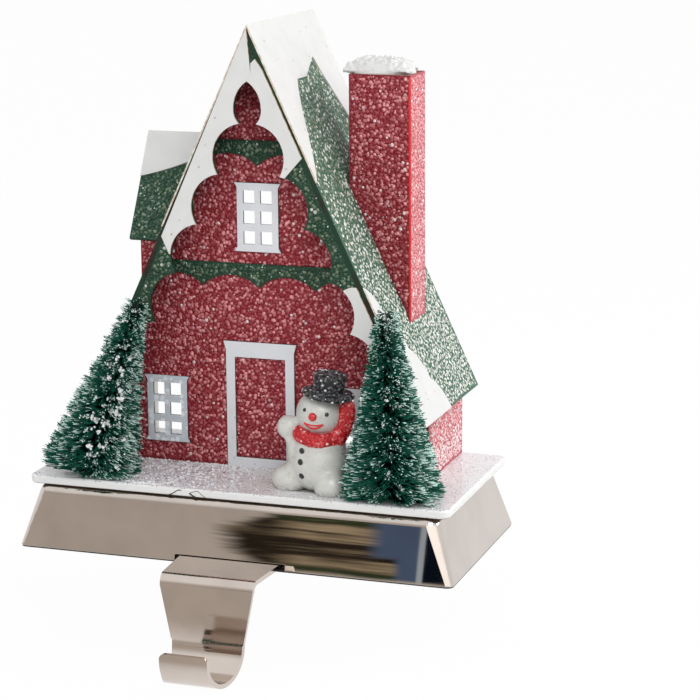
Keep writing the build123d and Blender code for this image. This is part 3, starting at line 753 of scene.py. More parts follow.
def apply_modifier(piece: Piece, kind: str, **settings: Any) -> None:
    """Add one modifier to a piece and apply it.

    Args:
        piece: The piece to change.
        kind: The modifier's type.
        settings: The modifier's own settings.
    """
    only(piece)
    modifier = piece.modifiers.new(kind.lower(), kind)
    for key, value in settings.items():
        setattr(modifier, key, value)
    bpy.ops.object.modifier_apply(modifier=modifier.name)


def cut_off(piece: Piece, point: Vector, normal: Vector) -> None:
    """Cut away what lies behind a plane, and close the cut."""
    with editing(piece):
        bpy.ops.mesh.bisect(plane_co=point, plane_no=normal, use_fill=True, clear_inner=True)


def hand_over(piece: Piece, name: str, finish: bpy.types.Material, slot: str, *nodes: str) -> None:
    """Name, paint and mount a finished piece.

    Args:
        piece: The finished piece.
        name: Its name.
        finish: Its material.
        slot: The record's material slot; not used.
        nodes: The CAD nodes that it stands for.
    """
    piece.name = name
    piece.data.name = name
    piece.data.materials.clear()
    piece.data.materials.append(finish)
    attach(piece, BODY)
    if nodes:
        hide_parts(*nodes)
    LOG.info("%s: %d faces", name, len(piece.data.polygons))


def paint_node(node: str, finish: bpy.types.Material) -> None:
    """Give a CAD node its finish.

    Args:
        node: The node's name.
        finish: Its material.
    """
    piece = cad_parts[node]
    piece.data.materials.clear()
    piece.data.materials.append(finish)
    LOG.info("%s keeps its solid", node)


def joined(pieces: Sequence[Piece]) -> Piece:
    """Join several objects.

    Args:
        pieces: The objects.

    Returns:
        The first of them, which now holds all.
    """
    only(pieces[0])
    for piece in pieces:
        piece.select_set(True)
    bpy.ops.object.join()
    return pieces[0]


def melted(pieces: Sequence[Piece], grid: float, rounds: int, floor: Optional[float] = None) -> Piece:
    """Melt several objects into one smooth piece.

    Args:
        pieces: The objects.
        grid: The size of the melted skin's faces.
        rounds: How often the skin is smoothed.
        floor: The height below which it is cut off, if it is.

    Returns:
        The melted piece.
    """
    made = joined(pieces)
    apply_modifier(made, "REMESH", mode="VOXEL", voxel_size=grid)
    apply_modifier(made, "SMOOTH", factor=0.5, iterations=rounds)
    if floor is not None:
        cut_off(made, UP * floor, UP)
    only(made)
    bpy.ops.object.shade_smooth()
    return made


def ball(
    centre: Vector, radii: Sequence[float], turn: Sequence[float] = (0.0, 0.0, 0.0), segments: int = 32
) -> Piece:
    """Add an egg-shaped ball.

    Args:
        centre: Its centre.
        radii: Its half sizes along X, Y and Z.
        turn: Its turn about X, Y and Z, in radians.
        segments: How many sides it has.

    Returns:
        The new object, settled.
    """
    made = added(
        bpy.ops.mesh.primitive_uv_sphere_add,
        segments=segments, ring_count=segments * 5 // 8, radius=1.0, location=centre,
    )
    made.scale = radii
    made.rotation_euler = turn
    settle(made)
    return made


def solid_copy(node: str) -> Piece:
    """Copy a CAD node as one closed skin with clean faces.

    Args:
        node: The node's name.

    Returns:
        The copy, with its doubles merged.
    """
    made = linked(node + "_skin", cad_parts[node].data.copy())
    with editing(made):
        bpy.ops.mesh.customdata_custom_splitnormals_clear()
        bpy.ops.mesh.remove_doubles(threshold=WELD)
        bpy.ops.mesh.dissolve_limited(angle_limit=FLAT_ANGLE)
    return made


def stroke(name: str, places: Sequence[Vector], radius: float) -> Piece:
    """Draw a round stroke through some places.

    Args:
        name: The stroke's name.
        places: The places, in order.
        radius: Half of its width.

    Returns:
        The new object.
    """
    line = bpy.data.curves.new(name, "CURVE")
    line.dimensions = "3D"
    line.bevel_depth = radius
    line.bevel_resolution = 3
    line.use_fill_caps = True
    spline = line.splines.new("POLY")
    spline.points.add(len(places) - 1)
    for point, place in zip(spline.points, places):
        point.co = (*place, 1.0)
    only(linked(name, line))
    bpy.ops.object.convert(target="MESH")
    bpy.ops.object.shade_smooth()
    return bpy.context.object


def unit(rows: np.ndarray) -> np.ndarray:
    """Return vectors, one row each, at a length of 1."""
    return rows / np.linalg.norm(rows, axis=1)[:, None]


def mesh_piece(name: str, copies: np.ndarray, pattern: np.ndarray) -> Piece:
    """Make one object from many copies of a shape.

    Args:
        name: Its name.
        copies: The points of each copy.
        pattern: The numbers of each triangle's points in one copy.

    Returns:
        The new object.
    """
    count, size, _ = copies.shape
    faces = (pattern[None] + (np.arange(count) * size)[:, None, None]).reshape(-1, 3)
    mesh = bpy.data.meshes.new(name)
    mesh.vertices.add(count * size)
    mesh.vertices.foreach_set("co", copies.astype(np.float32).ravel())
    mesh.loops.add(faces.size)
    mesh.loops.foreach_set("vertex_index", faces.astype(np.int32).ravel())
    mesh.polygons.add(len(faces))
    mesh.polygons.foreach_set("loop_start", np.arange(0, faces.size, 3, dtype=np.int32))
    mesh.polygons.foreach_set("use_smooth", np.ones(len(faces), dtype=bool))
    mesh.update(calc_edges=True)
    return linked(name, mesh)


def crumb_shape() -> tuple[np.ndarray, np.ndarray]:
    """Model one small crumb, to be copied.

    Returns:
        Its points and its triangles.
    """
    made = added(bpy.ops.mesh.primitive_ico_sphere_add, subdivisions=1, radius=1.0)
    points = np.array([v.co for v in made.data.vertices])
    faces = np.array([p.vertices for p in made.data.polygons])
    bpy.data.objects.remove(made)
    return points, faces


def keep_number(piece: Piece, name: str, values: np.ndarray) -> None:
    """Store one number for each point of a piece, under the name that materials read it by."""
    store = piece.data.attributes.new(name, "FLOAT", "POINT")
    store.data.foreach_set("value", values.astype(np.float32))


def whole_model() -> BVHTree:
    """Gather every CAD surface.

    Returns:
        One tree to cast rays at.
    """
    points, faces = [], []
    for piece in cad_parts.values():
        start = len(points)
        points += [v.co for v in piece.data.vertices]
        faces += [[start + k for k in p.vertices] for p in piece.data.polygons]
    return BVHTree.FromPolygons(points, faces)


def bead_cloud(
    places: np.ndarray, normals: np.ndarray, radii: np.ndarray, flatness: float,
    shade: np.ndarray, glint: np.ndarray,
) -> Piece:
    """Copy a bead to many places on a surface as one piece.

    Args:
        places: The places, one row each.
        normals: The surface's outward normal at each place.
        radii: The beads' radii.
        flatness: A bead's height off the surface, as a share of its radius.
        shade: How pale each bead is.
        glint: Which beads catch the light.

    Returns:
        The new object, with its shades stored on the mesh.
    """
    skew = (0.31, 0.17, 0.94)
    shape, faces = crumb_shape()
    across = unit(np.cross(skew, normals))
    axes = np.stack([across, np.cross(normals, across), normals * flatness], axis=1)
    copies = places[:, None] + radii[:, None, None] * np.einsum("pk,nkc->npc", shape, axes)
    piece = mesh_piece("beads", copies, faces)
    keep_number(piece, "shade", np.repeat(shade, len(shape)))
    keep_number(piece, "glint", np.repeat(glint, len(shape)))
    return piece


def bead_skin(piece: Piece, pitch: float, size: Pair, seed: int, glint_share: float = 0.09) -> Piece:
    """Cover a finished piece with beads.

    Args:
        piece: The piece to cover.
        pitch: The room that each bead has.
        size: The smallest and the largest radius.
        seed: What the places are drawn from.
        glint_share: The share of beads that catch the light.

    Returns:
        The beads as one object.
    """
    rng = np.random.default_rng(seed)
    mesh = piece.data
    mesh.calc_loop_triangles()
    corners = np.array([[mesh.vertices[k].co for k in t.vertices] for t in mesh.loop_triangles])
    normals = np.cross(corners[:, 1] - corners[:, 0], corners[:, 2] - corners[:, 0])
    areas = np.linalg.norm(normals, axis=1)
    count = int(0.5 * areas.sum() / pitch ** 2)
    picked = rng.choice(len(corners), count, p=areas / areas.sum())
    share = rng.dirichlet((1.0, 1.0, 1.0), count)
    places = np.einsum("nk,nkc->nc", share, corners[picked])
    radii = rng.uniform(*size, count)
    shade = rng.random(count) ** 1.6
    glint = (rng.random(count) < glint_share) * rng.uniform(0.4, 1.0, count)
    return bead_cloud(places, normals[picked] / areas[picked][:, None], radii, 0.5, shade, glint)


def strew(name: str, spots: np.ndarray, sizes: np.ndarray, seed: int) -> Piece:
    """Copy a crumb to many places as one piece.

    Args:
        name: The piece's name.
        spots: The places, one row each.
        sizes: The crumbs' radii.
        seed: What the crumbs' shapes are drawn from.

    Returns:
        The new object.
    """
    rng = np.random.default_rng(seed)
    points, faces = crumb_shape()
    stretch = rng.uniform(0.7, 1.3, (len(spots), 1, 3))
    rough = rng.uniform(0.85, 1.15, (len(spots), len(points), 1))
    return mesh_piece(name, points[None] * stretch * rough * sizes[:, None, None] + spots[:, None, :], faces)


@dataclass(frozen=True)
class Lamp:
    """A soft square lamp: its place, its width, its power in watts, and whether metal mirrors it."""

    name: str
    spot: Vector
    size: float
    power: float
    mirrored: bool = True

    def hang(self, aim: Vector) -> None:
        """Hang the lamp in the scene.

        Args:
            aim: The place that it points at.
        """
        data = bpy.data.lights.new(self.name, "AREA")
        data.size = self.size
        data.energy = self.power
        made = linked(self.name, data)
        made.location = self.spot
        made.visible_glossy = self.mirrored
        made.rotation_euler = (aim - self.spot).to_track_quat("-Z", "Y").to_euler()


@dataclass
class Studio:
    """Camera, lamps, floor and background."""

    spot: Vector = Vector((0.25401, -0.66205, 0.21973))
    turn: float = math.radians(18.91)
    pitch: float = math.radians(12.75)
    roll: float = math.radians(-0.43)
    lens: float = 120.93
    sensor: float = 36.0
    nearest: float = 0.01
    aim: Vector = Vector((0.0, 0.0, 0.08))
    lamps: tuple[Lamp, ...] = (
        Lamp("key", Vector((0.45, -0.75, 0.75)), 0.6, 4.4),
        Lamp("right", Vector((0.85, 0.25, 0.55)), 0.5, 5.2),
        Lamp("fill", Vector((-0.7, -0.7, 0.45)), 0.8, 2.0, mirrored=False),
    )
    ambient: Rgb = (0.55, 0.55, 0.55)
    front_wall: Rgb = (0.56, 0.50, 0.45)
    side_light: Rgb = (1.65, 1.60, 1.55)
    floor_size: float = 12.0
    floor_drop: float = 0.5 * MM
    floor_white: Rgb = (0.9, 0.9, 0.9)
    floor_glow: float = 0.97
    card_spot: Vector = Vector((-0.295, -1.0, 0.025))
    card_size: Pair = (0.23, 0.13)

    def build(self) -> None:
        """Set up the whole studio."""
        bpy.context.scene.view_settings.view_transform = "Standard"
        self.camera()
        for lamp in self.lamps:
            lamp.hang(self.aim)
        self.world()
        self.floor()
        self.dark_card()

    def camera(self) -> None:
        """Place the camera where the photograph was taken."""
        right = Vector((math.cos(self.turn), math.sin(self.turn), 0.0))
        level = math.cos(self.pitch)
        back = Vector((math.sin(self.turn) * level, -math.cos(self.turn) * level, math.sin(self.pitch)))
        up = back.cross(right)
        cos, sin = math.cos(self.roll), math.sin(self.roll)
        axes = (cos * right + sin * up, cos * up - sin * right, back)
        data = bpy.data.cameras.new("camera")
        data.lens = self.lens
        data.sensor_width = self.sensor
        data.clip_start = self.nearest
        made = linked("camera", data)
        made.matrix_world = Matrix.Translation(self.spot) @ Matrix(axes).transposed().to_4x4()
        bpy.context.scene.camera = made

    def world(self) -> None:
        """Make the background white to look at, softer as a light, and warm grey behind the camera."""
        world = bpy.data.worlds.new("studio")
        bpy.context.scene.world = world
        world.use_nodes = True
        graph = Graph(world.node_tree)
        path = graph.node("LightPath")
        across, depth, lift = graph.parts(graph.node("TexCoord")["Generated"])
        wall = depth.rise(-0.2, -0.6) * lift.rise(0.6, 0.15) * across.rise(-0.19, -0.24)
        lit = depth.rise(0.0, -0.4) * lift.rise(0.6, 0.3) * across.rise(-0.24, -0.19)
        mirrored = graph.mix(lit, graph.mix(wall, WHITE, self.front_wall), self.side_light)
        colour = graph.mix(path["Is Glossy Ray"], self.ambient, mirrored)
        seen = path["Is Camera Ray"].most(path["Is Transmission Ray"])
        sky = world.node_tree.nodes["Background"]
        graph.feed(sky.inputs["Color"], graph.mix(seen, colour, WHITE))

    def floor(self) -> None:
        """Lay a white floor under the hook that keeps a faint shadow."""
        low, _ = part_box("hook")
        under = (0.0, 0.0, low.z - self.floor_drop)
        made = added(bpy.ops.mesh.primitive_plane_add, size=self.floor_size, location=under)
        made.name = "floor"
        settle(made)
        paint = Paint("white_floor")
        _, y, _ = paint.parts(paint.place())
        path = paint.node("LightPath")
        seen = path["Is Camera Ray"].most(path["Is Glossy Ray"])
        # Glossy rays see the floor's front glow warm grey: a painted reflection for the metal.
        front = y.rise(-68.0, -100.0) * path["Is Glossy Ray"]
        matt = paint.node("BsdfDiffuse", {"Color": self.floor_white})[0]
        paint.glow(seen * self.floor_glow, matt, paint.mix(front, WHITE, self.front_wall))
        made.data.materials.append(paint.material)

    def dark_card(self) -> None:
        """Hang a streaky dark card behind the camera, which glows and which only the polished base shows: a
        painted reflection.
        """
        made = added(bpy.ops.mesh.primitive_plane_add, size=1.0, location=self.card_spot)
        made.name = "dark_card"
        made.scale = (*self.card_size, 1.0)
        made.rotation_euler = (math.radians(90), 0.0, 0.0)
        settle(made)
        for way in ("camera", "diffuse", "transmission", "volume_scatter", "shadow"):
            setattr(made, f"visible_{way}", False)
        made.data.materials.append(self.card_paint())

    def card_paint(self) -> bpy.types.Material:
        """Paint the card's glow, a painted reflection for the base: dark, with two tan bands, a blue end and
        a ragged left edge.

        Returns:
            The material, whose steps are places on the card in millimetres.
        """
        paint = Paint("dark_card")
        where = paint.place()
        x, _, z = paint.parts(where)
        drawn = paint.stretched(where, (0.02, 0.0, 1.0))
        streak = paint.grain(drawn, 2.2, 6.0) - 0.5
        level = z + (paint.grain(drawn, 9.0) - 0.5) * 9.0
        bands = level.band(28.5, 31.0, 42.0, 45.0).most(level.band(4.0, 7.0, 14.0, 16.5))
        tan = bands * x.rise(-350.0, -310.0) * 0.5 + streak * 2.0
        rim = level.rise(42.0, 46.0).most(level.rise(8.0, 4.0))
        blue = x.rise(-268.0, -250.0) * level.rise(18.0, 22.0).most(x.rise(-246.0, -236.0))
        colour = paint.mix(rim, (0.026, 0.019, 0.013), (0.032, 0.046, 0.020))
        for share, tone in (
            (tan.rise(0.0, 0.75), (0.48, 0.38, 0.25)),
            (blue, (0.085, 0.125, 0.215)),
            (x.rise(-226.0, -223.5), (0.42, 0.48, 0.54)),
            (x.rise(-221.0, -219.0), (0.004, 0.007, 0.014)),
        ):
            colour = paint.mix(share, colour, tone)
        middle = z - 25.0
        ragged = x - middle * middle * 0.07 + streak * 60.0
        shown = ragged.rise(-388.0, -362.0) * x.rise(-199.0, -202.0) * z.band(0.0, 3.0, 48.0, 54.0)
        paint.glow(shown, paint.node("BsdfTransparent")[0], colour)
        return paint.material


@dataclass
class Base:
    """Weighted metal base with its hook and the board on top."""

    palette: Palette
    hook_round: float = 0.25 * MM
    rim_round: float = 0.2 * MM
    smooth_angle: float = math.radians(32)

    def build(self) -> None:
        """Make the metal skins and paint the rest."""
        palette = self.palette
        for node, name, finish, width in (
            ("base_shell", "shell_skin", palette.shell_metal, self.rim_round),
            ("hook", "hook_strip", palette.hook_metal, self.hook_round),
        ):
            hand_over(self.softened(node, width), name, finish, "polished_nickel", node)
        paint_node("counterweight", palette.iron)
        paint_node("hook_screws", palette.zinc)
        paint_node("base_pad", palette.rubber)
        paint_node("snow_board", palette.snow_ground)

    def softened(self, node: str, width: float) -> Piece:
        """Copy a metal node with its sharp edges rounded.

        Args:
            node: The node's name.
            width: The width of the rounding.

        Returns:
            The new skin.
        """
        skin = solid_copy(node)
        angle = self.smooth_angle
        apply_modifier(skin, "BEVEL", width=width, segments=2, limit_method="ANGLE", angle_limit=angle)
        only(skin)
        bpy.ops.object.shade_smooth_by_angle(angle=angle)
        apply_modifier(skin, "WEIGHTED_NORMAL", mode="FACE_AREA", weight=100, keep_sharp=True)
        return skin


@dataclass
class House:
    """Card walls, roof, fretwork, frames, dormer and chimney."""

    palette: Palette
    crumb_count: int = 620
    crumb_size: Pair = (0.4 * MM, 0.95 * MM)
    crumb_seed: int = 11
    slab_height: float = 1.5
    heap: Pair = (0.1, 0.85)
    snow_grid: float = 0.28 * MM
    snow_rounds: int = 14
    crease: float = 0.45 * MM

    def build(self) -> None:
        """Paint the card pieces and heap the snow on the chimney."""
        palette = self.palette
        for cards, finishes in (
            (RED_CARDS, palette.red), (GREEN_CARDS, palette.green), (WHITE_CARDS, palette.white)
        ):
            for node, coat in cards.items():
                paint_node(node, finishes[coat])
        for node in CLEAN_FRAMES:
            paint_node(node, palette.clean_frame)
        paint_node(FROSTED_FRAME, palette.frosted_frame)
        self.chimney_snow()
        self.chimney_crease_highlight()

    def chimney_crease_highlight(self) -> None:
        """Draw the chimney's front right crease, where the coat is thin and the red card shows, painted
        bright red as a painted highlight where the edge catches the light.
        """
        low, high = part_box("chimney")
        x, y = high.x - 0.5 * self.crease, low.y + 0.5 * self.crease
        ends = [Vector((x, y, z)) for z in (low.z + self.crease, high.z - self.crease)]
        line = stroke("crease", ends, self.crease)
        hand_over(line, "chimney_crease_highlight", self.palette.red_dot, "red_glitter_card")

    def chimney_snow(self) -> None:
        """Heap crumbs of snow on the chimney."""
        low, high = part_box("chimney_snow")
        middle = (low + high) / 2
        half = (high - low) / 2
        rng = np.random.default_rng(self.crumb_seed)
        slab = ball(Vector((middle.x, middle.y, low.z)), (half.x, half.y, self.slab_height * half.z))
        spread = rng.uniform(-1.0, 1.0, (self.crumb_count, 2))
        sizes = rng.uniform(*self.crumb_size, self.crumb_count)
        crown = 1.0 - np.max(np.abs(spread), axis=1) ** 4
        room = crown * (high.z - low.z - 2 * sizes)
        spots = np.column_stack([
            middle.x + spread[:, 0] * (half.x - self.crumb_size[1]),
            middle.y + spread[:, 1] * (half.y - self.crumb_size[1]),
            low.z + sizes + room * rng.uniform(*self.heap, self.crumb_count),
        ])
        crumbs = strew("crumbs", spots, sizes, self.crumb_seed)
        heap = melted([slab, crumbs], self.snow_grid, self.snow_rounds, low.z)
        hand_over(heap, "chimney_snow_heap", self.palette.packed_snow, "crumb_snow", "chimney_snow")


@dataclass(frozen=True)
class BeadLayer:
    """One kind of coat: its beads, the room each has, how bright it is, how much paler its beads are painted
    on right-hand faces as painted light, and how many white beads it has there, as dust and as painted
    light.
    """

    finish: bpy.types.Material
    slot: str
    pitch: float
    bright: float
    pale: float
    dust: float


@dataclass
class BeadCoat:
    """Glass beads glued over the glittered faces of the card pieces."""

    palette: Palette
    jitter: float = 0.45
    size: Pair = (0.42 * MM, 0.74 * MM)
    flatness: float = 0.32
    row_share: float = 0.866
    glint_share: float = 0.02
    glint: Pair = (0.25, 0.95)
    # Shares of white beads on right-hand faces, growing towards the foot: dust, and painted light from the
    # right.
    dust_share: float = 0.45
    foot_dust: float = 2.4
    foot_power: float = 2.5
    clearance: float = 1.3 * MM
    lift_off: float = 0.05 * MM
    seed: int = 21

    def build(self) -> None:
        """Coat each glittered piece."""
        self.cover = whole_model()
        self.rng = np.random.default_rng(self.seed)
        red = BeadLayer(self.palette.red_bead, "red_glitter_card", 1.08 * MM, 1.1, 0.85, 0.08)
        # Right-hand walls get more white beads: frost, and painted light from the right.
        frosted_and_sidelit = replace(red, dust=0.6)
        green = BeadLayer(self.palette.green_bead, "green_glitter_card", 1.25 * MM, 0.92, 0.45, 0.68)
        fretwork = replace(green, pitch=1.08 * MM, bright=0.8)
        for node, coat in RED_CARDS.items():
            self.coat(node, coat, frosted_and_sidelit if coat is Coat.RIGHT else red)
        for node, coat in GREEN_CARDS.items():
            self.coat(node, coat, fretwork if coat is Coat.FRONT else green)

    def coated_sides(self, node: str, coat: Coat) -> list[tuple[np.ndarray, np.ndarray]]:
        """Collect the flat coated sides of a piece.

        Args:
            node: The piece's name.
            coat: Which of its faces are coated.

        Returns:
            For each flat side, its outward normal and its triangles.
        """
        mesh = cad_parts[node].data
        mesh.calc_loop_triangles()
        sides: dict[tuple[float, ...], list[np.ndarray]] = {}
        for triangle in mesh.loop_triangles:
            if coat.away(triangle.normal) < COATED[1]:
                continue
            corners = np.array([mesh.vertices[k].co for k in triangle.vertices])
            level = float(corners[0] @ np.array(triangle.normal))
            key = (*(round(float(c), 2) for c in triangle.normal), round(level, 4))
            sides.setdefault(key, []).append(corners)
        return [self.side(np.array(group)) for group in sides.values()]

    def side(self, triangles: np.ndarray) -> tuple[np.ndarray, np.ndarray]:
        """Return the exact normal of a flat side, and its triangles."""
        normal = np.cross(triangles[:, 1] - triangles[:, 0], triangles[:, 2] - triangles[:, 0]).sum(axis=0)
        return normal / np.linalg.norm(normal), triangles

    def within(self, points: np.ndarray, triangles: np.ndarray) -> np.ndarray:
        """Tell which points of a plane lie in any of its triangles.

        Args:
            points: The points, one row each.
            triangles: The triangles, three points each.

        Returns:
            True for each point that does.
        """
        found = np.zeros(len(points), dtype=bool)
        for corners in triangles:
            turns = np.array([
                (b[0] - a[0]) * (points[:, 1] - a[1]) - (b[1] - a[1]) * (points[:, 0] - a[0])
                for a, b in zip(corners, np.roll(corners, -1, axis=0))
            ])
            found |= np.all(turns >= 0, axis=0) | np.all(turns <= 0, axis=0)
        return found

    def spots(self, normal: np.ndarray, triangles: np.ndarray, pitch: float) -> np.ndarray:
        """Spread bead places over one flat side, clear of its rim.

        Args:
            normal: The side's outward normal.
            triangles: The side's triangles.
            pitch: The room that each bead has.

        Returns:
            The places, one row each.
        """
        across = np.cross((0.0, 0.0, 1.0), normal)
        across /= np.linalg.norm(across)
        upward = np.cross(normal, across)
        flat = np.stack([triangles @ across, triangles @ upward], axis=-1)
        low, high = flat.reshape(-1, 2).min(axis=0), flat.reshape(-1, 2).max(axis=0)
        rows = np.arange(low[1], high[1], self.row_share * pitch)
        columns = np.arange(low[0], high[0], pitch)
        u, v = np.meshgrid(columns, rows)
        u[1::2] += pitch / 2
        grid = np.column_stack([u.ravel(), v.ravel()])
        grid += self.rng.uniform(-self.jitter, self.jitter, grid.shape) * pitch
        inside = np.ones(len(grid), dtype=bool)
        for step in ((1.0, 0.0), (-1.0, 0.0), (0.0, 1.0), (0.0, -1.0)):
            inside &= self.within(grid + np.array(step) * self.size[1], flat)
        level = float(triangles[0, 0] @ normal)
        return grid[inside, :1] * across + grid[inside, 1:] * upward + level * normal

    def coat(self, node: str, coat: Coat, layer: BeadLayer) -> None:
        """Lay the beads of one piece, paler and with more white beads on its right-hand sides and towards
        its foot: white dust, and painted light from the right as well.

        Args:
            node: The piece's name.
            coat: Which of its faces are coated.
            layer: The kind of coat.
        """
        places, normals = [], []
        for normal, triangles in self.coated_sides(node, coat):
            out = Vector(normal)
            for spot in self.spots(normal, triangles, layer.pitch):
                if self.cover.ray_cast(Vector(spot) + out * self.lift_off, out, self.clearance)[0] is None:
                    places.append(spot)
                    normals.append(normal)
        spots, outs = np.array(places), np.array(normals)
        count = len(spots)
        right = np.clip(outs[:, 0], 0.0, 1.0)
        depth = (spots[:, 2].max() - spots[:, 2]) / np.ptp(spots[:, 2])
        # Painted light: beads on right-hand faces are made paler, as if lit from the right.
        shade = np.clip(self.rng.random(count) ** 2 * layer.bright + layer.pale * right, 0.0, 1.0)
        # White beads gather on right-hand faces and towards the foot: snow dust, and painted light from the
        # right as well.
        dust = layer.dust * right * (self.dust_share + self.foot_dust * depth ** self.foot_power)
        snowy_and_sidelit = self.rng.random(count) < self.glint_share + dust
        radii = self.rng.uniform(*self.size, count)
        glint = snowy_and_sidelit * self.rng.uniform(*self.glint, count)
        piece = bead_cloud(spots, outs, radii, self.flatness, shade, glint)
        hand_over(piece, f"{node}_beads", layer.finish, layer.slot)


@dataclass
class BoardGlitter:
    """Loose glitter on the snow board, crumbs along the foot of the wall, and scuffs on the front edge."""

    palette: Palette
    flakes: int = 1500
    gathered: int = 1300
    gathered_x: float = -22.0 * MM
    gathered_spread: float = 11.0 * MM
    gathered_back: float = -3.0 * MM
    stars: Pair = (-29.0 * MM, -34.0 * MM)
    stars_radius: float = 6.5 * MM
    flake_size: Pair = (0.16 * MM, 0.42 * MM)
    flatness: float = 0.35
    flake_tilt: float = 0.7
    bold_growth: float = 1.35
    star_growth: float = 1.3
    glints: Triple = (0.2, 0.45, 0.8)
    margin: float = 1.2 * MM
    leftward: float = 1.5
    pale_run: float = 40.0 * MM
    palest: float = 0.75
    crumbs: int = 260
    crumb_size: Pair = (0.18 * MM, 0.45 * MM)
    drift_gap: float = 0.8 * MM
    drift_spread: float = 0.5 * MM
    headroom: float = 3.0 * MM
    lift_off: float = 0.02 * MM
    reach_down: float = 0.1 * MM
    seed: int = 41
    marks: tuple[tuple[float, tuple[Pair, ...]], ...] = (
        (0.16, ((-21.1, -2.7), (-19.4, -1.9), (-18.0, -0.95), (-17.1, -0.6), (-16.5, -0.7))),
        (0.10, ((-14.0, -1.45), (-12.6, -0.85), (-11.1, -0.5), (-10.0, -1.45), (-8.6, -2.5))),
        (0.26, ((-13.8, -1.45), (-12.8, -2.1), (-11.9, -2.6))),
    )

    def build(self) -> None:
        """Strew the flakes and the crumbs, and draw the scuffs."""
        self.rng = np.random.default_rng(self.seed)
        self.low, self.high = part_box("snow_board")
        self.strew_flakes()
        self.strew_crumbs()
        self.draw_scuffs()

    def open_board(self, spots: np.ndarray) -> np.ndarray:
        """Tell which places have the board right below them and open air above.

        Args:
            spots: The places, one row each.

        Returns:
            True for each place that does.
        """
        cover = whole_model()
        starts = [Vector(spot) for spot in spots + np.array((0.0, 0.0, self.lift_off))]
        return np.array([
            cover.ray_cast(start, UP, self.headroom)[0] is None
            and cover.ray_cast(start, -UP, self.reach_down)[0] is not None
            for start in starts
        ])

    def strew_flakes(self) -> None:
        """Lay flakes wherever the board is open, thicker in front of the left window."""
        rng, low, high, margin = self.rng, self.low, self.high, self.margin
        x = np.concatenate([
            low.x + margin + (high.x - low.x - 2 * margin) * rng.random(self.flakes) ** self.leftward,
            rng.normal(self.gathered_x, self.gathered_spread, self.gathered),
        ])
        y = np.concatenate([
            rng.uniform(low.y + margin, high.y - margin, self.flakes),
            rng.uniform(low.y + margin, self.gathered_back, self.gathered),
        ])
        spots = np.column_stack([x, y, np.full(len(x), high.z)])
        kept = self.open_board(spots)
        spots = spots[kept]
        bold = (np.arange(len(x)) >= self.flakes)[kept]
        count = len(spots)
        normals = unit(np.column_stack([rng.normal(0.0, self.flake_tilt, (count, 2)), np.ones(count)]))
        starry = bold & (np.hypot(*(spots[:, :2] - np.array(self.stars)).T) < self.stars_radius)
        growth = np.where(bold, self.bold_growth, 1.0) * np.where(starry, self.star_growth, 1.0)
        radii = rng.uniform(*self.flake_size, count) * growth
        glint = (rng.random(count) < np.choose(1 * bold + starry, self.glints)).astype(float)
        shade = np.maximum(rng.random(count), np.clip(spots[:, 0] / self.pale_run, 0.0, self.palest))
        piece = bead_cloud(spots, normals, radii, self.flatness, shade, glint)
        hand_over(piece, "board_flakes", self.palette.silver_flake, "white_glitter_board")

    def strew_crumbs(self) -> None:
        """Drift crumbs of snow along the foot of the front wall."""
        low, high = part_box("front_wall")
        sizes = self.rng.uniform(*self.crumb_size, self.crumbs)
        spots = np.column_stack([
            self.rng.uniform(low.x + MM, high.x - MM, self.crumbs),
            low.y - self.drift_gap - np.abs(self.rng.normal(0.0, self.drift_spread, self.crumbs)),
            low.z + 0.5 * sizes,
        ])
        piece = strew("drift", spots, sizes, self.seed)
        hand_over(piece, "wall_foot_drift", self.palette.crumbs, "crumb_snow")

    def draw_scuffs(self) -> None:
        """Draw dark cracks on the front edge; their points are across and below the board's top."""
        made = []
        for width, points in self.marks:
            y = self.low.y + 0.3 * width * MM
            places = [Vector((x * MM, y, self.high.z + z * MM)) for x, z in points]
            made.append(stroke("scuff", places, width * MM))
        hand_over(joined(made), "board_scuffs", self.palette.rubber, "white_glitter_board")


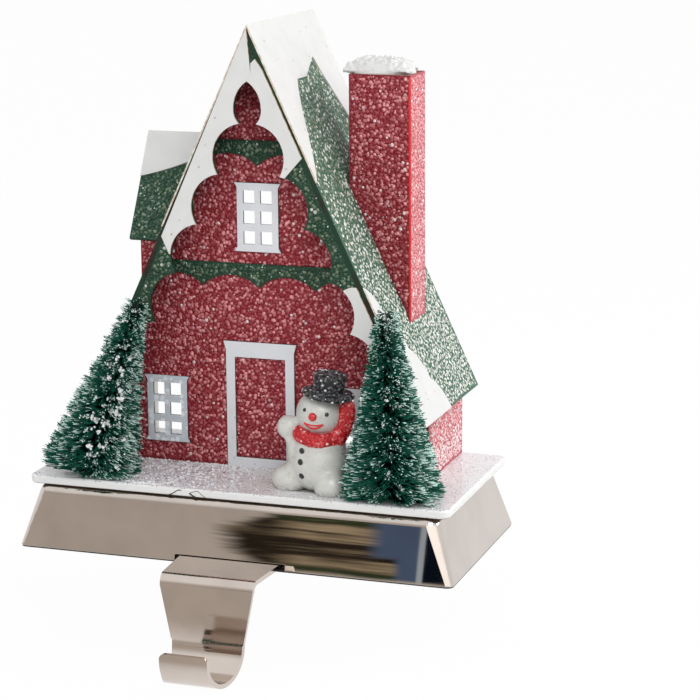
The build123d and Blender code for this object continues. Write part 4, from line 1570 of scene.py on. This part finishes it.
@dataclass
class BrushTree:
    """A bottle-brush tree: tufts of bristles round a wire, with frosted ends and bits of flock."""

    palette: Palette
    side: str
    seed: int
    flock_count: int
    flock_size: float
    frost: float
    sway: float
    rime: float = 0.3
    frost_spread: float = 0.25
    crown: float = 0.9
    crown_frost: float = 0.35
    dip: Pair = (0.75, 1.0)
    sway_power: float = 1.5
    crowding: float = 1.6
    longest: float = 1.05
    shortened: float = 0.3
    climb: Pair = (0.10, 0.08)
    waist: float = 0.7 * MM
    tufts: int = 1900
    per_tuft: int = 10
    stray_share: float = 0.004
    stray_reach: float = 0.14
    tip_width: float = 0.13 * MM
    tip_radius: float = 3.0 * MM
    root_spread: float = 0.35 * MM
    tuft_spread: float = 0.5 * MM
    dots: int = 520
    dot_size: Pair = (0.13 * MM, 0.30 * MM)
    flock_clear: float = 5.0 * MM
    flock_turn: float = math.radians(20)
    flock_bits: int = 5
    board_gap: float = 0.15 * MM
    foot_rough: float = 0.5 * MM
    rim_rough: float = 1.2 * MM

    def build(self) -> None:
        """Make the bristles and the flock on them, and paint the wire."""
        low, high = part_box(f"{self.side}_tree_wire")
        wire = (high.y - low.y) / 2
        foot = Vector((low.x + wire, (low.y + high.y) / 2, low.z))
        head = Vector((high.x - wire, (low.y + high.y) / 2, high.z))
        cone_low, cone_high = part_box(f"{self.side}_tree_bristles")
        axis = (head - foot).normalized()
        start = foot + axis * ((cone_low.z - foot.z) / axis.z)
        length = (cone_high.z - start.z) / axis.z
        radius = (cone_high.y - cone_low.y) / 2
        paint_node(f"{self.side}_tree_wire", self.palette.wire)
        tips = self.bristles(start, axis, length, radius, cone_low.z)
        self.flock(tips)

    def bristles(
        self, start: Vector, axis: Vector, length: float, radius: float, ground: float
    ) -> np.ndarray:
        """Make all the bristles as one piece.

        Args:
            start: The middle of the tree's foot.
            axis: The direction of the wire.
            length: The tree's height along the wire.
            radius: The tree's radius at its foot.
            ground: The height of the board under the bristles.

        Returns:
            The end of each tuft and how readily it catches flock, one row each.
        """
        rng = np.random.default_rng(self.seed)
        forward = axis.cross(Vector((1.0, 0.0, 0.0))).normalized()
        aside = forward.cross(axis)
        count, many = self.tufts, self.per_tuft
        total = count * many
        share = 1.0 - (1.0 - rng.random(count)) ** (1 / self.crowding)
        angle = rng.uniform(0.0, 2 * math.pi, count)
        cone = radius + (self.tip_radius - radius) * share - self.waist * np.sin(math.pi * share)
        reach = cone * (self.longest - self.shortened * rng.random(count) ** 1.5)
        climb = rng.normal(*self.climb, count) * reach
        spoke = np.outer(np.cos(angle), aside) + np.outer(np.sin(angle), forward)
        bent = np.outer(self.sway * share ** self.sway_power, (1.0, 0.0, 0.0))
        hub = np.array(start) + np.outer(share * length, axis) + bent
        tips = hub + spoke * reach[:, None] + np.outer(climb, axis)
        frosted = rng.normal(self.frost, self.frost_spread, count) + self.rime * np.cos(angle) ** 2
        frosted = np.clip(frosted + self.crown_frost * (share > self.crown), 0.0, 1.0)
        dipped = (rng.random((count, many)) < frosted[:, None]) * rng.uniform(*self.dip, (count, many))
        roots = np.repeat(hub, many, axis=0) + rng.normal(0.0, self.root_spread, (total, 3))
        ends = np.repeat(tips, many, axis=0) + rng.normal(0.0, self.tuft_spread, (total, 3))
        stray = rng.random(total) < self.stray_share
        ends[stray] += self.stray_reach * (ends[stray] - roots[stray])
        ends[:, 2] = np.maximum(ends[:, 2], ground + self.board_gap + rng.uniform(0, self.foot_rough, total))
        roots[:, 2] = np.maximum(roots[:, 2], ground + self.board_gap)
        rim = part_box("snow_board")[0].y + rng.uniform(0.0, self.rim_rough, total)
        low = ends[:, 2] < ground + self.flock_clear
        ends[:, 1] = np.where(low, np.maximum(ends[:, 1], rim), ends[:, 1])
        piece = self.needles(roots, ends, dipped.ravel())
        name = f"{self.side}_tree"
        hand_over(piece, f"{name}_brush", self.palette.bristle, "green_bristle", f"{name}_bristles")
        facing = np.cos(angle + math.pi / 2 - self.flock_turn)
        return np.column_stack([tips, 0.4 * frosted + 0.9 * facing + 0.4 * np.sin(math.pi * share)])

    def needles(self, roots: np.ndarray, ends: np.ndarray, frosted: np.ndarray) -> Piece:
        """Make three-sided needles that widen from their roots to their ends.

        Args:
            roots: The inner end of each needle, one row each.
            ends: The outer end of each needle, one row each.
            frosted: How much frost each needle has.

        Returns:
            The new object, with its frost stored on the mesh.
        """
        line = unit(ends - roots)
        across = unit(np.cross(line, (0.0, 0.0, 1.0)))
        upward = np.cross(across, line)
        corners = [roots]
        for turn in (0.0, 2 * math.pi / 3, 4 * math.pi / 3):
            corners.append(ends + self.tip_width * (math.cos(turn) * across + math.sin(turn) * upward))
        pattern = np.array([(0, 1, 2), (0, 2, 3), (0, 3, 1), (1, 3, 2)])
        made = mesh_piece("needles", np.stack(corners, axis=1), pattern)
        keep_number(made, "along", np.tile((0.0, 1.0, 1.0, 1.0), len(roots)))
        keep_number(made, "frosted", np.repeat(frosted, len(corners)))
        return made

    def flock(self, tips: np.ndarray) -> None:
        """Stick bits of white flock to the ends of tufts.

        Args:
            tips: The end of each tuft and how readily it catches flock, one row each.
        """
        rng = np.random.default_rng(self.seed + 1)
        order = np.argsort(tips[:, 3] + rng.uniform(0.0, 0.9, len(tips)))[::-1][: self.flock_count]
        low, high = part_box("snow_board")
        held = (tips[:, 1] > low.y) | (tips[:, 2] > high.z + self.flock_clear)
        centres = tips[order][held[order], :3]
        many = self.flock_bits
        drift = rng.normal(0.0, 0.7 * self.flock_size, (many * len(centres), 3))
        bits = np.repeat(centres, many, axis=0) + drift
        lump = np.repeat(0.3 + 0.9 * rng.random(len(centres)) ** 1.5, many)
        sizes = rng.uniform(0.5, 1.0, len(bits)) * lump * self.flock_size
        picked = rng.choice(len(tips), self.dots, replace=False)
        specks = tips[picked][held[picked], :3]
        sizes = np.concatenate([sizes, rng.uniform(*self.dot_size, len(specks))])
        piece = strew("flock", np.concatenate([bits, specks]), sizes, self.seed)
        hand_over(piece, f"{self.side}_tree_flock", self.palette.crumbs, "crumb_snow")


@dataclass(frozen=True)
class Lump:
    """An egg-shaped lump: its middle and its half sizes in millimetres, and its lean in degrees."""

    middle: Triple
    radii: Triple
    lean: float = 0.0


@dataclass
class Snowman:
    """A small painted casting; places are from the middle of its foot, in millimetres."""

    palette: Palette
    from_left: float = 11.9
    from_back: float = 8.8
    tilt: float = math.radians(8)
    white_lumps: tuple[Lump, ...] = (
        Lump((1.4, 0.0, 8.6), (9.2, 8.3, 9.6)),
        Lump((1.5, -0.2, 13.6), (8.4, 7.3, 5.4)),
        Lump((1.8, 0.0, 23.5), (7.2, 7.1, 6.9), 8),
        Lump((-7.5, -2.1, 2.7), (5.4, 4.7, 4.4), 14),
        Lump((-5.0, -1.8, 5.2), (4.2, 4.4, 4.4)),
        Lump((6.6, -5.0, 2.7), (5.1, 4.9, 4.6)),
        Lump((-5.2, -1.8, 12.6), (2.6, 3.4, 6.0)),
        Lump((-6.1, -2.2, 15.8), (2.3, 2.7, 3.2)),
        Lump((-7.4, -2.5, 19.1), (3.5, 3.2, 3.7)),
    )
    skin_grid: float = 0.4 * MM
    skin_rounds: int = 16
    neck: Triple = (1.6, -0.5, 17.6)
    neck_radius: float = 5.8
    scarf_radius: float = 2.2
    scarf_turn: float = math.radians(10)
    scarf_grid: float = 0.3 * MM
    scarf_rounds: int = 4
    scarf_beads: tuple[float, Pair, int] = (0.9 * MM, (0.30 * MM, 0.58 * MM), 31)
    scarf_tail: Lump = Lump((9.9, -0.7, 21.8), (2.9, 1.7, 7.1), 14)
    scarf_fold: Lump = Lump((8.2, -1.4, 17.2), (2.6, 2.6, 3.4), 10)
    hat_seat: Triple = (4.6, -0.2, 29.4)
    hat_rings: tuple[Pair, ...] = (
        (6.9, 0.3), (7.6, 0.0), (7.9, 0.5), (7.4, 1.1), (5.1, 1.2),
        (4.6, 1.7), (4.6, 3.6), (5.0, 6.3), (4.8, 6.7), (2.4, 6.75),
    )
    hat_crease: float = math.radians(40)
    hat_beads: tuple[float, Pair, int] = (0.95 * MM, (0.28 * MM, 0.55 * MM), 33)
    in_front: float = -40.0
    dot_depth: float = 0.12
    dot_crease: float = math.radians(60)
    smile_middle: float = 2.0
    smile_half: float = 2.9
    smile_slant: float = 0.1
    smile_depth: float = 0.1
    smile_points: int = 15

    def build(self) -> None:
        """Make the casting's white parts, then what is painted on it."""
        low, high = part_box("snowman")
        self.stand = Vector((low.x + self.from_left * MM, high.y - self.from_back * MM, low.z))
        self.figure()
        self.scarf()
        self.hat()
        self.face()

    def at(self, x: float, y: float, z: float) -> Vector:
        """Return a place on the snowman, from millimetres off its foot."""
        return self.stand + Vector((x, y, z)) * MM

    def lump(self, shape: Lump) -> Piece:
        """Add one lump of the casting."""
        turn = (0.0, math.radians(shape.lean), 0.0)
        return ball(self.at(*shape.middle), [radius * MM for radius in shape.radii], turn)

    def keep(self, piece: Piece, name: str, finish: bpy.types.Material, *nodes: str) -> None:
        """Hand over a finished piece of the snowman."""
        hand_over(piece, f"snowman_{name}", finish, "cast_snowman", *nodes)

    def figure(self) -> None:
        """Melt the lumps of body, head, feet and raised hand together."""
        lumps = [self.lump(shape) for shape in self.white_lumps]
        self.body = melted(lumps, self.skin_grid, self.skin_rounds, self.stand.z)
        self.keep(self.body, "casting", self.palette.resin, "snowman")

    def scarf(self) -> None:
        """Wrap a scarf round the neck, with one end lifted beside the head."""
        ring = added(
            bpy.ops.mesh.primitive_torus_add,
            major_segments=48, minor_segments=16,
            major_radius=self.neck_radius * MM, minor_radius=self.scarf_radius * MM,
            location=self.at(*self.neck), rotation=(self.scarf_turn, self.tilt, 0.0),
        )
        settle(ring)
        ends = [self.lump(self.scarf_tail), self.lump(self.scarf_fold)]
        whole = melted([ring, *ends], self.scarf_grid, self.scarf_rounds)
        self.keep(whole, "scarf", self.palette.scarf_paint)
        self.keep(bead_skin(whole, *self.scarf_beads), "scarf_beads", self.palette.scarf_bead)

    def hat(self) -> None:
        """Raise a top hat from a disc: a dished brim and a crown that widens to its top."""
        seat = self.at(*self.hat_seat)
        rings = self.hat_rings
        hat = added(
            bpy.ops.mesh.primitive_circle_add,
            vertices=48, radius=rings[0][0] * MM, fill_type="NGON", location=seat,
        )
        settle(hat)
        with editing(hat):
            for (radius, height), (wider, higher) in zip(rings, rings[1:]):
                lift = (0.0, 0.0, (higher - height) * MM)
                bpy.ops.mesh.extrude_region_move(TRANSFORM_OT_translate={"value": lift})
                share = wider / radius
                bpy.ops.transform.resize(value=(share, share, 1.0), center_override=seat)
            bpy.ops.mesh.select_all(action="SELECT")
            bpy.ops.mesh.normals_make_consistent(inside=False)
            bpy.ops.transform.rotate(value=-self.tilt, orient_axis="Y", center_override=seat)
            # Extruded faces come in another order on each run, and the beads are drawn by that order.
            bpy.ops.mesh.sort_elements(type="CURSOR_DISTANCE", elements={"FACE"})
        bpy.ops.object.shade_smooth_by_angle(angle=self.hat_crease)
        self.keep(hat, "hat", self.palette.hat_paint)
        self.keep(bead_skin(hat, *self.hat_beads), "hat_beads", self.palette.hat_bead)

    def onto(self, x: float, z: float) -> tuple[Vector, Vector]:
        """Find the casting's front at a place.

        Args:
            x: Millimetres to the right of the foot's middle.
            z: Millimetres above the board.

        Returns:
            The point on the surface and its normal.
        """
        hit, point, normal, _ = self.body.ray_cast(self.at(x, self.in_front, z), Vector((0.0, 1.0, 0.0)))
        if not hit:
            raise ValueError(f"the casting has no front at {x}, {z}")
        return point, normal

    def dot(self, x: float, z: float, radius: float, bulge: float) -> Piece:
        """Set a round dot into the casting's front.

        Args:
            x: Millimetres to the right of the foot's middle.
            z: Millimetres above the board.
            radius: Its radius, in millimetres.
            bulge: How far it stands out, in millimetres.

        Returns:
            The new object.
        """
        point, normal = self.onto(x, z)
        radii = (radius * MM, radius * MM, bulge * MM)
        made = ball(point, radii, normal.to_track_quat("Z", "Y").to_euler(), segments=20)
        cut_off(made, point - normal * self.dot_depth * MM, normal)
        bpy.ops.object.shade_smooth_by_angle(angle=self.dot_crease)
        return made

    def face(self) -> None:
        """Paint eyes, nose, buttons and smile."""
        black, red = self.palette.black_dot, self.palette.red_dot
        for name, x, z, radius, bulge, finish in (
            ("left_eye", -0.8, 25.7, 0.62, 0.3, black),
            ("right_eye", 6.0, 24.6, 0.66, 0.3, black),
            ("nose", 2.0, 23.9, 1.3, 1.0, red),
            ("top_button", -1.5, 13.2, 0.95, 0.4, black),
            ("middle_button", -1.8, 9.9, 0.95, 0.4, black),
            ("low_button", -1.6, 5.5, 0.95, 0.4, black),
        ):
            self.keep(self.dot(x, z, radius, bulge), name, finish)
        for name, radius, height, bend in (("smile", 0.42, 20.2, 1.5), ("lip", 0.3, 21.2, 0.5)):
            self.keep(self.mouth(name, radius, height, bend), name, red)

    def mouth(self, name: str, radius: float, height: float, bend: float) -> Piece:
        """Draw one stroke of the open smile, sunk a little into the face.

        Args:
            name: The stroke's name.
            radius: Half of its width, in millimetres.
            height: Its middle's height above the board, in millimetres.
            bend: How far its ends curl up, in millimetres.

        Returns:
            The new object.
        """
        places = []
        for across in np.linspace(-1.0, 1.0, self.smile_points):
            lift = bend * across * across - self.smile_slant * across
            point, normal = self.onto(self.smile_middle + self.smile_half * across, height + lift)
            places.append(point - normal * self.smile_depth * MM)
        return stroke(name, places, radius * MM)


def main() -> None:
    """Build every sub-assembly in order."""
    logging.basicConfig(level=logging.INFO, format="%(name)s %(message)s")
    palette = Palette()
    Studio().build()
    Base(palette).build()
    House(palette).build()
    BeadCoat(palette).build()
    BoardGlitter(palette).build()
    BrushTree(
        palette, "left", seed=3, flock_count=90, flock_size=0.58 * MM, frost=0.02, sway=2.4 * MM, rime=0.45
    ).build()
    BrushTree(
        palette, "right", seed=5, flock_count=14, flock_size=0.36 * MM, frost=0.05, sway=-1.8 * MM, dots=300
    ).build()
    Snowman(palette).build()


if __name__ == "__main__":
    main()
